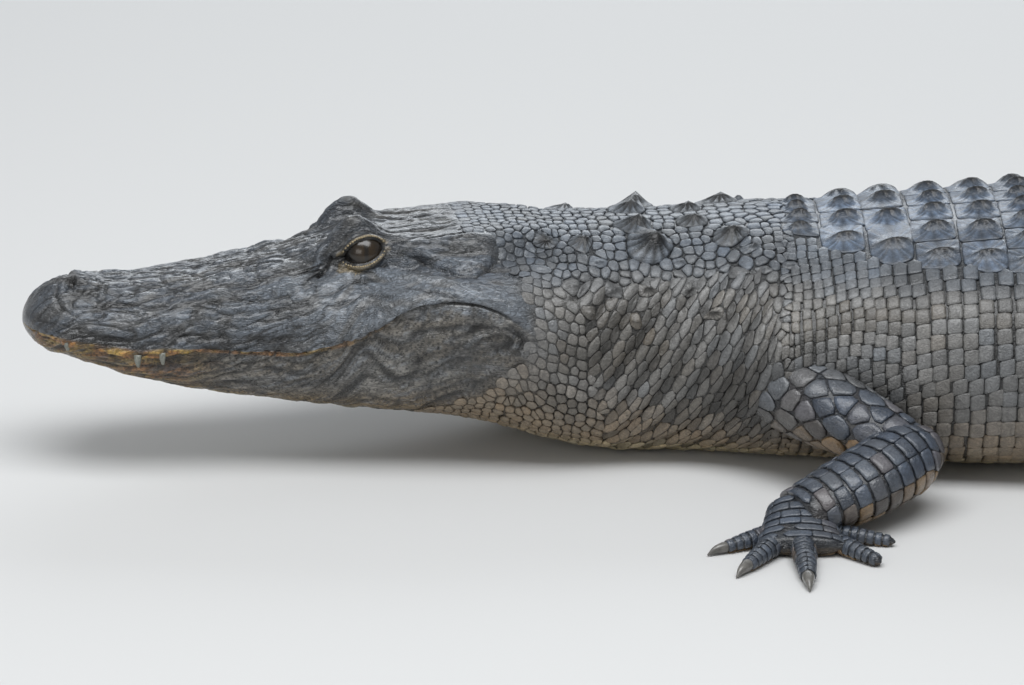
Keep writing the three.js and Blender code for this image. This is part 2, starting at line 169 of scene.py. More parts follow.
def makeMesh(name, points, faces, values=None, smooth=True):
    # faces is a list of arrays, each of one number of corners
    mesh = bpy.data.meshes.new(name)
    corners = np.concatenate([f.ravel() for f in faces]).astype(np.int32)
    sizes = np.concatenate([np.full(len(f), f.shape[1]) for f in faces])
    mesh.vertices.add(len(points))
    mesh.vertices.foreach_set("co", (points * mm + origin).astype(np.float32).ravel())
    mesh.loops.add(len(corners))
    mesh.loops.foreach_set("vertex_index", corners)
    mesh.polygons.add(len(sizes))
    mesh.polygons.foreach_set("loop_start", np.concatenate([[0], np.cumsum(sizes)[:-1]]).astype(np.int32))
    mesh.update(calc_edges=True)
    mesh.polygons.foreach_set("use_smooth", np.full(len(sizes), smooth))
    for key, value in (values or {}).items():
        setColour(mesh, key, value)
    piece = bpy.data.objects.new(name, mesh)
    bpy.context.scene.collection.objects.link(piece)
    return piece


def bakeModifiers(piece):
    # what the modifiers make takes the place of the piece's own mesh
    depsgraph = bpy.context.evaluated_depsgraph_get()
    made = bpy.data.meshes.new_from_object(piece.evaluated_get(depsgraph), preserve_all_data_layers=True,
                                           depsgraph=depsgraph)
    piece.modifiers.clear()
    old = piece.data
    piece.data = made
    bpy.data.meshes.remove(old)
    made.name = piece.name


def removePiece(piece):
    mesh = piece.data
    bpy.data.objects.remove(piece)
    bpy.data.meshes.remove(mesh)


def finishPiece(piece, material=None):
    if material:
        piece.data.materials.append(material)
    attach(piece, "root")


def mapCorners(piece, mapped):
    # mapped is the place of each point on the map for baking
    index = np.empty(len(piece.data.loops), np.int32)
    piece.data.loops.foreach_get("vertex_index", index)
    uv = piece.data.uv_layers.new(name="OFBake")
    uv.data.foreach_set("uv", mapped[index].astype(np.float32).ravel())


def nearestTree(points):
    tree = KDTree(len(points))
    for k, point in enumerate(points):
        tree.insert(point, k)
    tree.balance()
    return tree


def setColour(mesh, key, value):
    attribute = mesh.attributes.get(key) or mesh.attributes.new(key, "FLOAT_COLOR", "POINT")
    colour = np.ones((len(value), 4), np.float32)
    colour[:, :3] = value
    attribute.data.foreach_set("color", colour.ravel())


def gridFaces(rows, columns, closed=False):
    i, j = np.meshgrid(np.arange(rows - 1), np.arange(columns if closed else columns - 1), indexing="ij")
    k = (j + 1) % columns
    at = lambda row, column: (row * columns + column).ravel()
    return np.stack([at(i, j), at(i + 1, j), at(i + 1, k), at(i, k)], -1)


def fan(ring, centre, turned=False):
    following = np.roll(ring, -1)
    sides = (following, ring) if turned else (ring, following)
    return np.stack([*sides, np.full(len(ring), centre)], -1)


# Noise, for wrinkles and bumps that are part of the meshes.

def lattice(i, j, seed):
    h = (i * 374761393 + j * 668265263 + seed * 974634533) & 0xFFFFFFFF
    h = ((h ^ (h >> 13)) * 1274126177) & 0xFFFFFFFF
    return ((h ^ (h >> 16)) & 0xFFFF) / 32767.5 - 1


def noise(x, y, seed):
    x, y = np.broadcast_arrays(x, y)
    i, j = np.floor(x).astype(np.int64), np.floor(y).astype(np.int64)
    u, v = x - i, y - j
    u, v = u * u * (3 - 2 * u), v * v * (3 - 2 * v)
    low = lattice(i, j, seed) * (1 - u) + lattice(i + 1, j, seed) * u
    high = lattice(i, j + 1, seed) * (1 - u) + lattice(i + 1, j + 1, seed) * u
    return low * (1 - v) + high * v


def roughNoise(x, y, seed):
    return sum(noise(x * 2 ** k, y * 2 ** k, seed + 31 * k) / 2 ** k for k in range(3)) / 1.6


def creases(x, y, seed):
    # 0 on the creases, rising to 1 between them
    return np.minimum(1, np.abs(noise(x, y, seed)) * 3.2)


def bell(x, width):
    return np.exp(-(x / width) ** 2)


def ease(low, high, x):
    t = np.clip((x - low) / (high - low), 0, 1)
    return t * t * (3 - 2 * t)


def within(x, start, full, fade, end):
    # 1 between full and fade, and 0 before start and past end
    return ease(start, full, x) * (1 - ease(fade, end, x))


def unit(vectors):
    return vectors / np.maximum(np.linalg.norm(vectors, axis=-1, keepdims=True), 1e-9)


# The body's section at a station. The turn runs from a quarter over the back to a half at the left lip, and
# to three quarters below the belly.

def rounding(s, reach):
    return np.sqrt(np.clip(1 - np.clip(1 - s / reach, 0, 1) ** 2, 0, 1))


def roundness(angle, a, b, power):
    return ((np.abs(np.cos(angle)) / a) ** power + (np.abs(np.sin(angle)) / b) ** power) ** (-1 / power)


def section(s, turn, inset=0.0):
    above = np.sin(turn) >= -1e-9
    depth = rounding(s, body["snoutRound"]["height"])
    lip = body["lip"](s)
    wide = body["halfWidth"](s) - np.where(above, 0, body["lipOverhang"](s))
    wide = np.maximum(wide * rounding(s, body["snoutRound"]["side"]), 0.01)
    start, end = body["tableSpan"]
    fade = within(s, start - 15, start + 20, end - 25, end)
    crown = body["back"](s) + (body["cheek"](s) - body["back"](s)) * fade
    tall = np.maximum(np.where(above, crown - lip, lip - body["belly"](s)) * depth, 0.01)
    angle = np.arctan2(tall * np.sin(turn), wide * np.cos(turn))
    r = roundness(angle, wide, tall, np.where(above, body["upperPower"](s), body["lowerPower"](s)))
    table = roundness(angle, body["tableHalfWidth"](s), body["back"](s) - lip, body["tablePower"])
    blend = body["tableBlend"](s)
    joined = np.maximum(r, table) + np.maximum(0, blend - np.abs(r - table)) ** 2 / (4 * blend)
    r = np.maximum(r + (joined - r) * fade * above - inset, 0)
    side = r * np.cos(angle)
    brow, pad = body["brow"], body["nostrilPad"]
    across = bell(np.abs(side) - brow["side"], brow["across"])
    bump = brow["height"] * bell(s - brow["station"], brow["along"]) * across
    bump = bump + pad["height"] * bell(s - pad["station"], pad["along"]) * bell(side, pad["across"]) * depth
    return side, lip + r * np.sin(angle) + np.where(above, bump, 0)


# The girth of the body, measured once, so that places on the hide can be given by the distance round it: 0
# on the mid-line of the back, growing down the left side and falling down the right one.

girthStations = np.unique(np.concatenate([np.linspace(0.02, 60, 60), np.arange(65, 2746, 5.0), [2750]]))
turnShares = np.linspace(0, 1, 121)


def measureQuarter(first):
    turn = first + turnShares * np.pi / 2
    side, height = section(girthStations[:, None], turn[None, :])
    step = np.hypot(np.diff(side, axis=1), np.diff(height, axis=1))
    run = np.concatenate([np.zeros((len(step), 1)), np.cumsum(step, axis=1)], axis=1)
    shares = np.linspace(0, 1, 101)
    return run[:, -1], np.array([np.interp(shares * row[-1], row, turnShares) for row in run])


belowLip = 1e-6
upperGirth, upperTurns = measureQuarter(np.pi / 2)
lowerGirth, lowerTurns = measureQuarter(np.pi + belowLip)


def bilinear(grid, i, j):
    i = np.clip(i, 0, grid.shape[0] - 1.000001)
    j = np.clip(j, 0, grid.shape[1] - 1.000001)
    a, b = np.floor(i).astype(int), np.floor(j).astype(int)
    u, v = i - a, j - b
    if grid.ndim == 3:
        u, v = u[..., None], v[..., None]
    near = grid[a, b] * (1 - v) + grid[a, b + 1] * v
    far = grid[a + 1, b] * (1 - v) + grid[a + 1, b + 1] * v
    return near * (1 - u) + far * u


def quarterTurn(turns, s, share):
    row = np.interp(s, girthStations, np.arange(len(girthStations)))
    return bilinear(turns, row, np.clip(share, 0, 1) * (turns.shape[1] - 1)) * np.pi / 2


def bodySection(s, g, inset=0.0):
    # the distance to the right of the mid-line, and the height
    s, g = np.broadcast_arrays(np.asarray(s, float), g)
    upper = np.interp(s, girthStations, upperGirth)
    lower = np.interp(s, girthStations, lowerGirth)
    across = np.where(g < 0, -1.0, 1.0)
    past = np.abs(g) > upper + lower
    reach = np.where(past, 2 * (upper + lower) - np.abs(g), np.abs(g))
    across = np.where(past, -across, across)
    above = np.pi / 2 + quarterTurn(upperTurns, s, reach / upper)
    below = np.pi + belowLip + quarterTurn(lowerTurns, s, (reach - upper) / lower)
    side, height = section(s, np.where(reach < upper, above, below), inset)
    return side * across, height


def upperAt(s):
    return np.interp(s, girthStations, upperGirth)


def lowerAt(s):
    return np.interp(s, girthStations, lowerGirth)


# Colours of the hide, as the eye names them, in the linear values that meshes and shaders hold.

def rgb(*levels):
    return np.array([((v / 255 + 0.055) / 1.055) ** 2.4 for v in levels])


# groove is the colour of the painted shade in grooves, slits, the mouth line and round the eyes
palette = {
    "slate": rgb(78, 83, 89), "blueSlate": rgb(66, 74, 85), "cheek": rgb(100, 106, 113),
    "greyBrown": rgb(94, 89, 81), "flank": rgb(97, 99, 101), "tan": rgb(122, 104, 78),
    "cream": rgb(172, 160, 128),
    "lipYellow": rgb(168, 138, 66), "lipOrange": rgb(158, 108, 48), "jawGrey": rgb(99, 97, 93),
    "jawDark": rgb(26, 26, 27), "groove": rgb(14, 13, 13), "pinkBrown": rgb(98, 88, 84),
    "armBlue": rgb(46, 53, 64), "backBlue": rgb(64, 77, 94), "armUnder": rgb(108, 88, 62),
    "lidCream": rgb(176, 158, 122),
}


def mix(a, b, t):
    return a + (b - a) * np.asarray(t)[..., None]


# Where the smooth hide of the head ends and the scales of the neck begin, by height.

neckEdge = track([[0, 285], [42, 301], [57, 328], [80, 366], [108, 381], [120, 386], [138, 385], [150, 380],
                  [160, 374], [174, 362], [180, 350], [186, 340]])


def coatDepth(s, g, z):
    onBack = (1 - ease(0.5, 0.75, np.abs(g) / upperAt(s))) * within(s, 560, 640, 1400, 1500)
    onBelly = ease(0.45, 0.6, (np.abs(g) - upperAt(s)) / lowerAt(s)) * ease(430, 600, s)
    depth = 2.0 + 3.8 * onBack - 0.8 * onBelly + 0.6 * ease(1400, 1500, s)
    return depth * ease(0, 40, s - neckEdge(z))


folds = {"slant": 36.0, "pitch": 20.0, "depth": 5.5, "from": 425.0, "to": 600.0}


def foldAt(s, g):
    # the region of slanting folds on the side of the neck
    run = np.abs(g)
    start = folds["from"] + 0.22 * run
    along = ease(start - 40, start - 15, s) * (1 - ease(folds["to"] - 30, folds["to"], s))
    return along * within(run, 70, 110, 300, 350)


def foldHeight(s, g):
    # 0 in the creases of the folds and 1 on their tops
    slant = math.radians(folds["slant"])
    phase = ((s - 510) * math.cos(slant) + (np.abs(g) - 200) * math.sin(slant)) / folds["pitch"]
    phase = phase + 0.3 * noise(s / 60, g / 60, 35) + 0.5
    return np.abs(np.sin(np.pi * phase)) ** 0.7


# The body swells where a limb leaves it: station, height, reach and amount.

swells = [(586, 84, 50, 46, 23.0), (1284, 82, 66, 46, 16.0)]


def skinSection(s, g):
    height = bodySection(s, g)[1]
    depth = coatDepth(s, g, height) + folds["depth"] * foldAt(s, g) * (0.5 - foldHeight(s, g))
    for station, level, along, tall, amount in swells:
        depth = depth - amount * bell(s - station, along) * bell(height - level, tall)
    return bodySection(s, g, depth)


def skinPoint(s, g):
    return place(s, *skinSection(s, g))


def gridNormals(points, outward):
    along = np.gradient(points, axis=0)
    around = np.gradient(points, axis=1)
    return unit(np.cross(along, around) * outward)


# The head's relief, in millimetres out of the hide: wrinkles, lips, nostrils and ear flaps. A stroke is a
# fold or a ridge drawn on both sides of the head: its height, its width and its course, as stations and
# distances from the mid-line of the back.

relief = {
    "snout": 1.4, "cheek": 1.3, "jaw": 1.9, "table": 0.8, "bumps": 1.5, "strokes": 1.6,
    "nostril": {"station": 38.0, "side": 12.0, "depth": 4.5},
}
shownTeeth = [(31, 5.5), (84, 7), (103, 7)]
strokes = [
    (-0.9, 1.0, [(289, 51), (304, 59), (322, 77), (333, 88), (346, 90), (356, 82), (365, 70), (369, 60)]),
    (1.6, 3.0, [(307, 55), (325, 66), (338, 76), (350, 77), (359, 69), (363, 61)]),
    (-0.9, 1.5, [(329, 50), (340, 47), (351, 49), (359, 53)]),
    (-0.7, 1.5, [(292, 44), (312, 50), (327, 53), (337, 59)]),
    (-0.7, 1.5, [(305, 42), (324, 44), (344, 41)]),
    (-0.9, 1.8, [(272, 30), (300, 24), (327, 26), (345, 22)]),
    (-0.8, 1.8, [(278, 16), (306, 10), (324, 11), (338, 16)]),
    (-1.6, 1.5, [(238, 45), (245, 64), (256, 78), (270, 71), (285, 61)]),
    (1.8, 4.5, [(228, 60), (252, 78), (275, 71), (295, 79), (319, 93), (332, 107), (342, 117), (353, 120)]),
    (-1.0, 1.7, [(224, 72), (243, 81), (261, 92), (274, 80)]),
    (-0.8, 1.6, [(227, 82), (252, 105), (265, 105), (280, 100)]),
    (-0.9, 1.6, [(287, 89), (305, 102), (321, 111), (331, 119)]),
    (1.5, 2.2, [(235, 30), (228, 39), (219, 55)]),
    (-2.2, 1.8, [(238, 43), (234, 47), (226, 55)]),
    (1.2, 3.0, [(236, 22), (246, 29), (256, 32), (268, 30), (285, 22)]),
    (-1.2, 1.6, [(239, 37), (248, 41), (260, 47), (274, 39), (286, 43)]),
    (1.2, 2.2, [(303, 122), (318, 123), (331, 127), (344, 131), (357, 133)]),
    (-1.1, 1.8, [(289, 137), (306, 138), (321, 139), (344, 141), (357, 139)]),
    (-1.4, 1.8, [(325, 149), (340, 144), (359, 141), (373, 143), (379, 148), (376, 156), (365, 164)]),
    (-1.6, 1.7, [(347, 152), (356, 147), (366, 146), (369, 151), (365, 157), (357, 160)]),
    (1.3, 2.6, [(331, 154), (345, 148), (360, 143), (370, 146), (373, 152), (366, 161), (352, 165)]),
    (-1.0, 1.4, [(31, 8), (36, 4), (45, 3), (56, 5), (62, 14), (58, 25), (47, 27), (39, 21), (37, 9)]),
    (-0.9, 1.5, [(28, 7), (24, 18), (27, 37), (35, 47)]),
    (-0.9, 1.5, [(66, 14), (62, 33), (50, 47)]),
    (-0.9, 1.5, [(64, 30), (78, 34), (89, 31), (98, 27)]),
    (-1.0, 1.6, [(53, 47), (69, 40), (81, 44), (94, 51), (111, 53)]),
    (1.1, 3.2, [(237, 35), (216, 28), (196, 37), (173, 37), (149, 34)]),
    (0.9, 3.0, [(231, 46), (209, 56), (178, 56), (148, 46), (119, 49)]),
    (-0.9, 1.6, [(225, 34), (202, 42), (178, 45), (147, 40)]),
    (-0.8, 1.5, [(211, 65), (182, 64), (153, 55), (126, 56)]),
    (-0.7, 1.5, [(141, 25), (114, 22), (91, 18)]),
    (-0.7, 1.5, [(202, 76), (172, 70), (145, 66)]),
]


def strokeAt(s, g, course):
    # distance to the stroke, and how far along it, from 0 to 1
    course = np.array(course, float)
    steps = np.diff(course, axis=0)
    lengths = np.hypot(*steps.T)
    starts = np.concatenate([[0], np.cumsum(lengths)])
    best, along = np.full(s.shape, 1e6), np.zeros(s.shape)
    for a, step, length, start in zip(course, steps, lengths, starts):
        t = np.clip(((s - a[0]) * step[0] + (g - a[1]) * step[1]) / length ** 2, 0, 1)
        away = np.hypot(s - a[0] - t * step[0], g - a[1] - t * step[1])
        nearer = away < best
        best, along = np.where(nearer, away, best), np.where(nearer, start + t * length, along)
    return best, along / starts[-1]


def headRelief(s, g, side, z):
    # the relief, and the painted shade in its grooves, which turns to a painted highlight on its ridges
    # where it falls below 0
    lip = body["lip"](s)
    above = z >= lip - 0.5
    onHead = 1 - ease(-4, 14, s - neckEdge(z))
    run = np.abs(g)
    bend = 7 * noise(s / 42, g / 26, 11) + 2.6 * noise(s / 15, g / 10, 12)
    long = creases(s / 24, (g + bend) / 5.6, 21)
    fine = creases(s / 11, (g + bend * 0.7) / 3.2, 22)
    short = creases(s / 13 + bend / 12, g / 7.5 + bend / 16, 23)
    cells = creases(s / 8 + bend / 7, g / 6 + bend / 9, 29)
    smooth = above * bell(run - np.interp(s, [228, 275, 319, 342], [66, 78, 100, 122]), 11) * (s > 225)
    rough = (1 - 0.75 * smooth) * onHead
    snout = above * (1 - ease(215, 275, s)) * rough
    cheek = above * ease(235, 285, s) * (1 - ease(158, 172, z)) * rough
    table = above * ease(215, 270, s) * ease(160, 172, z) * rough
    jaw = ~above * onHead
    lines = snout * ((1 - long) + 0.55 * (1 - fine) + 0.35 * (1 - short)) * relief["snout"]
    lines += table * (0.6 * (1 - short) + 0.7 * (1 - fine) + 0.4 * (1 - long)) * relief["table"]
    lines += cheek * (0.5 * (1 - cells) + 0.6 * (1 - fine)) * relief["cheek"]
    flow = g + bend + 0.35 * (s - 300) * ease(260, 330, s)
    streaks = creases(s / 40, flow / 6.5, 24)
    thin = creases(s / 46, (flow + 1.5 * noise(s / 9, g / 7, 33)) / 3.6, 25)
    lines += jaw * (0.6 * (1 - streaks) + 0.6 * (1 - thin)) * relief["jaw"]
    lumps = roughNoise(s / 15, g / 9, 26) + 0.7 * noise(s / 30, g / 18, 30)
    out = relief["bumps"] * rough * lumps - lines
    # painted shade in the wrinkles
    dark = (0.5 + 0.05 * jaw) * lines

    # lips swell round the shown teeth, and carry short upright wrinkles
    edge = above * bell(z - lip - 3, 9) * (1 - ease(250, 330, s))
    for station, _ in shownTeeth:
        out += 1.3 * bell(s - station, 7) * edge
    ticks = creases(s / 4.2 + 0.3 * bend, z / 14, 27)
    out -= edge * 0.7 * (1 - ticks)
    out += 1.2 * bell(z - lip - 4.5, 4.0) * above * (1 - ease(250, 330, s))
    furrow = above * bell(z - lip - 12 - 2 * noise(s / 14, 0 * s, 31), 2.4) * (1 - ease(160, 260, s))
    out -= 1.2 * furrow
    # painted shade in the lip's upright wrinkles and in the furrow above the lip
    dark += 0.4 * edge * (1 - ticks) + 0.35 * furrow

    for height, width, course in strokes:
        away, along = strokeAt(s, run, course)
        fade = np.sqrt(np.clip(6 * along * (1 - along), 0, 1)) * onHead
        shape = bell(away + 0.25 * bend * (height > 0), width) * fade
        out += height * relief["strokes"] * shape
        # painted shade along each fold and a painted highlight along each ridge
        dark += max(-height, 0) * 0.7 * shape - 0.3 * max(height, 0) * shape

    # nostrils: a crescent slit on each side of the pad, with rings of folds round it
    nostril = relief["nostril"]
    u, v = s - nostril["station"], np.abs(side) - nostril["side"]
    curve = u + 0.09 * v * v
    top = z > 125
    crescent = bell(curve, 2.3) * bell(v, 7.5) * top
    away = np.hypot(u, v * 1.1)
    out += 0.45 * np.cos(away * 1.15 + bend * 0.5) * bell(away - 9, 9) * top
    out += -nostril["depth"] * crescent + 1.8 * bell(curve - 5.5, 3) * bell(v, 9) * top
    # painted shade in the nostril slit and in the troughs of the folds round it
    dark += 1.0 * crescent + 0.25 * (np.cos(away * 1.15 + bend * 0.5) < -0.6) * bell(away - 9, 9) * top

    # the flap over the ear is a full lens above its slit, and its lower edge is toothed
    slit = track([[278, 50], [289, 51], [304, 59], [322, 77], [333, 88], [346, 90], [356, 82], [365, 70],
                  [371, 60]])(s)
    span = np.maximum(slit - 43, 4)
    rise = (slit - run) / span
    lens = above * within(s, 286, 312, 358, 370) * within(rise, 0, 0.1, 0.8, 1.15)
    teeth = (1 - creases(s / 3.0, g / 30, 28)) * (1 - ease(0.1, 0.3, rise)) * ease(320, 334, s)
    out += lens * (1.2 + 0.3 * span * np.clip(rise * (1 - rise), 0, 1) - 0.8 * teeth)
    # painted shade under the toothed edge of the flap, and a painted highlight across its middle
    dark += lens * (0.5 * teeth - 0.15 * bell(rise - 0.5, 0.3))
    return out * ease(2, 14, s), np.clip(dark, -0.6, 1) * ease(2, 14, s)


def headTone(s, g, z, dark):
    lip, belly = body["lip"](s), body["belly"](s)
    above = z >= lip - 0.5
    patches = roughNoise(s / 30, g / 14, 41)
    fleck = roughNoise(s / 3.4, z / 2.6, 46)
    tone = mix(palette["slate"], palette["blueSlate"], 0.5 + 0.6 * patches)
    # painted light: the top of the head, and less so the top of the snout, are darkened against the lamp
    # above them
    crown = ease(158, 172, z) * ease(215, 270, s) * (1 - ease(38, 52, np.abs(g)))
    tone = tone * (1 - 0.62 * crown)[..., None]
    tone = tone * (1 - 0.25 * (1 - ease(20, 60, np.abs(g))) * (1 - ease(215, 270, s)))[..., None]
    tone = mix(tone, palette["cheek"], ease(130, 240, s) * (1 - ease(150, 166, z)) * 0.8)
    tone = mix(tone, palette["cheek"], 0.5 * bell(s - 80, 60) * bell(z - lip - 22, 16))
    tone = mix(tone, palette["greyBrown"], 0.45 * ease(-0.1, 0.5, roughNoise(s / 19, g / 9, 42)))
    darkLip = bell(z - lip - 9.5 - 2 * patches, 4.5) * (1 - ease(200, 300, s))
    tone = mix(tone, palette["jawDark"], np.clip(darkLip * (0.45 + 0.5 * fleck), 0, 1))
    band = np.interp(s, [0, 30, 60, 100, 125, 262, 285], [0.0, 5.5, 7.5, 7.5, 2.4, 1.6, 0.0])
    yellow = (1 - ease(0.55, 1.0, (z - lip) / np.maximum(band * (1 + 0.35 * patches), 0.01))) * (band > 0.1)
    ochre = mix(palette["lipYellow"], palette["lipOrange"], ease(-0.3, 0.4, roughNoise(s / 11, z / 4, 47)))
    tone = mix(tone, ochre, yellow * 0.95)
    rise = (z - belly) / np.maximum(lip - belly, 1)
    brown = ease(-0.3, 0.4, roughNoise(s / 34, g / 20, 44))
    jaw = mix(palette["jawGrey"] * 1.6, palette["greyBrown"] * 1.3, brown)
    streaks = ease(0.0, 0.5, roughNoise(s / 30, g / 7, 48))
    jaw = mix(jaw, palette["cheek"], 0.45 * streaks * ease(0.3, 0.6, rise))
    chin = (1 - ease(90, 165, s)) * ease(2, 12, s) * (0.75 + 0.3 * patches)
    jaw = mix(jaw, ochre * 0.8, np.clip(chin, 0, 0.92))
    under = (1 - ease(0.1, 0.34, rise + 0.1 * patches)) * (1 - ease(280, 340, s))
    jaw = mix(jaw, palette["lipYellow"] * 0.7, 0.6 * under)
    jaw = mix(jaw, palette["tan"], 0.6 * (1 - ease(0.08, 0.45, rise)))
    jaw = mix(jaw, palette["cream"], 0.8 * (1 - ease(0.0, 0.14, rise)))
    pale = bell(lip - z - 7, 4.5) * within(s, 285, 305, 352, 372) * ease(-0.4, 0.3, fleck)
    jaw = mix(jaw, palette["cheek"] * 1.7, 0.8 * pale)
    # painted shade in the hollow on the side of the lower jaw, broken up by flecks
    hollow = bell(z - 108 - 0.1 * (s - 340), 10) * within(s, 292, 318, 378, 392)
    jaw = mix(jaw, palette["jawDark"], np.clip(0.5 * hollow * (0.9 + fleck), 0, 0.8))
    jaw = mix(jaw, palette["cheek"] * 1.4, 0.5 * ease(0.15, 0.5, roughNoise(s / 12, g / 2.6, 49)))
    jaw = mix(jaw, palette["jawDark"] * 0.6, 0.6 * ease(0.22, 0.4, fleck + 0.3 * patches))
    line = (1 - ease(1.2, 3.2, lip - z)) * (1 - ease(262, 290, s)) * ease(100, 130, s)
    jaw = mix(jaw, ochre, 0.75 * line)
    # painted light: the sides of the head below the table are lightened, where less of the lamp above
    # reaches
    tone = tone * (1 + 0.35 * (1 - ease(152, 166, z)))[..., None]
    tone = np.where(above[..., None], tone, jaw * 1.2)
    # a painted highlight on the ridges and painted shade in the grooves, both taken from the relief's
    # darkness
    tone = mix(tone, palette["cheek"] * 1.55, np.clip(-dark, 0, 0.6))
    return mix(tone, palette["groove"], np.clip(dark, 0, 0.9))


def trunkTone(s, g, z):
    # the same markings colour the skin and each scale on it
    patches = roughNoise(s / 46, g / 30, 51)
    upper = mix(palette["greyBrown"], palette["slate"], ease(120, 165, z))
    side = mix(palette["flank"], palette["greyBrown"], 0.5 + 0.6 * patches)
    tone = mix(side, upper, ease(125, 165, z) * (1 - ease(1400, 1700, s)) + 0.5 * ease(1400, 1700, s))
    top = (1 - ease(0.75, 1.0, np.abs(g) / np.maximum(dorsalHalf(s), 40))) * ease(560, 640, s)
    tone = mix(tone, palette["backBlue"], 0.85 * top * (1 - 0.6 * ease(1500, 2000, s)))
    high = np.clip(z / (body["lip"](s) * 1.1), 0, 1)
    tone = mix(tone, palette["tan"], 0.7 * (1 - ease(0.2, 0.8, high + 0.2 * patches)))
    tone = mix(tone, palette["cream"], 0.85 * (1 - ease(0.02, 0.26, high)))
    band = ease(0.25, 0.75, 0.5 + 0.5 * np.sin(s / 24 + 2.2 * noise(s / 90, g / 60, 53)))
    dark = (0.35 * band * ease(1250, 1500, s) + 0.35 * ease(-0.1, 0.5, patches)) * ease(0.2, 0.6, high)
    tone = tone * (1 + 0.5 * (1 - ease(620, 900, s)))[..., None]
    return mix(tone, palette["jawDark"], dark)


dorsalHalf = track([[588, 0], [600, 34], [640, 74], [700, 108], [1000, 148], [1290, 112], [1402, 60]])


# Eyes: a wet ball under two lids, which the skin follows closely.

def eyeFrame(sign):
    centre = place(eye["station"], sign * eye["side"], eye["height"])
    back, right = spineAxes(eye["station"])
    out = right * sign
    tilt = math.radians(eye["gazeUp"])
    gaze = out * math.cos(tilt) + np.array([0, 0, math.sin(tilt)])
    up = np.array([0, 0, math.cos(tilt)]) - out * math.sin(tilt)
    return centre, back, up, gaze


lidShape = {"front": -18.4, "rear": 15.8, "lean": 7.0, "frontHeight": -3.4, "upper": 10.2, "lower": -10.6,
            "fullness": 0.62, "rim": (0.7, 4.6), "beads": 19}


def lidLine(t, upper):
    # t runs from the front corner of the eye to the rear one
    chord = lidShape["frontHeight"] + lidShape["lean"] * t
    arch = np.maximum(4 * t * (1 - t), 0) ** lidShape["fullness"]
    return chord + arch * (lidShape["upper"] if upper else lidShape["lower"])


def settleLids(points, tone):
    for sign in (-1, 1):
        centre, back, up, gaze = eyeFrame(sign)
        offset = points - centre
        r = np.linalg.norm(offset, axis=-1)
        near = (r < 60) & (offset @ np.array([0, sign, 0]) > -25)
        n = offset[near] / np.maximum(r[near], 1e-6)[:, None]
        facing = n @ gaze
        lidR = eye["radius"] + eye["lidDepth"]
        a, b = lidR * (n @ back), lidR * (n @ up)
        t = (a - lidShape["front"]) / (lidShape["rear"] - lidShape["front"])
        tt = np.clip(t, 0, 1)
        top, bottom = lidLine(tt, True), lidLine(tt, False)
        gap = np.minimum(top - b, b - bottom)
        gap = np.where((t > 0) & (t < 1) & (facing > 0.1), gap, -2.0)
        start = r[near]
        hug = ease(0.12, 0.55, facing) * (1 - ease(23, 33, start))
        held = np.maximum(start, lidR)
        target = held * (1 - hug) + lidR * hug
        # each lid has a fold that follows its edge
        for distance, depth, width in ((4.2, 1.1, 1.1), (7.5, 0.8, 1.2)):
            target = target - depth * bell(-gap - distance, width) * hug * (facing > 0.15)
        below = b < (top + bottom) / 2
        target = target + (0.7 * bell(-gap - 1.2, 1.2) + 0.8 * below * bell(-gap - 3, 2.2)) * hug
        open_ = ease(-0.4, 1.2, gap)
        target = target * (1 - open_) + (eye["radius"] - 3.5) * open_
        # the corners of the lids run on as creases
        for side, length in ((-1, 6.0), (1, 5.0)):
            end = lidShape["front"] if side < 0 else lidShape["rear"]
            height = lidLine(np.array(0.0 if side < 0 else 1.0), True)
            past = (a - end) * side
            target = target - 1.8 * bell(b - height, 1.2) * within(past, -3, 0, length - 4, length)
        points[near] = centre + n * target[:, None]
        low, wide = lidShape["rim"]
        beyond = np.hypot(np.where(t < 0, a - lidShape["front"], np.where(t > 1, a - lidShape["rear"], 0)),
                          np.maximum(bottom - b, 0))
        lower = below * within(beyond, low - 0.5, low + 0.3, wide - 0.8, wide + 0.6)
        lower = lower * (facing > 0.12) * (start < 27)
        upper = ~below * (t > -0.05) * (t < 1.05) * bell(-gap - 1.5, 0.8) * (facing > 0.2) * (start < 25)
        fleck = 0.75 + 0.35 * noise(a / 1.6, b / 1.6, 73)
        lower = lower * (1 - ease(-1, 2, a - lidShape["rear"])) * (0.55 + 0.4 * ease(2, -8, a))
        cream = np.clip((0.85 * lower + 0.7 * upper) * fleck, 0, 1)
        tone[near] = mix(tone[near], palette["lidCream"], cream)
        # painted shade inside the lid opening, along each lid's edge and in the fold above the upper lid
        fold = ~below * bell(-gap - 3.2, 0.9) * hug * (facing > 0.2)
        shade = np.clip(open_ + 0.8 * bell(gap, 0.7) + 0.75 * fold, 0, 1)
        tone[near] = mix(tone[near], palette["groove"], shade)
    return points, tone


skin = {"headStep": 1.5, "neckStep": 4.6, "trunkStep": 14.0, "tailStep": 22.0, "coarseFrom": 432.0,
        "upperColumns": 105, "lowerColumns": 67, "mouthDepth": 5.0, "mouthEnd": (345.0, 384.0)}


def halfShares(s):
    # g of each column down one side, and which column is the inside of the mouth
    upper, lower = upperAt(s), lowerAt(s)
    shut = ease(*skin["mouthEnd"], s)
    a = np.linspace(0, 1, skin["upperColumns"])[None, :] * (1 - 0.012 * shut)[:, None]
    b = np.linspace(0.016, 1, skin["lowerColumns"])
    inner = upper[:, None] * np.ones((1, 1))
    return np.concatenate([a * upper[:, None], inner, upper[:, None] + b * lower[:, None]], axis=1)


def bodyStations():
    tip = 20 * np.linspace(0.035, 1, 20) ** 2
    return np.concatenate([tip, np.arange(22, 405, skin["headStep"]), np.arange(405, 600, skin["neckStep"]),
                           np.arange(600, 1400, skin["trunkStep"]), np.arange(1400, 2744, skin["tailStep"]),
                           [2746.0]])


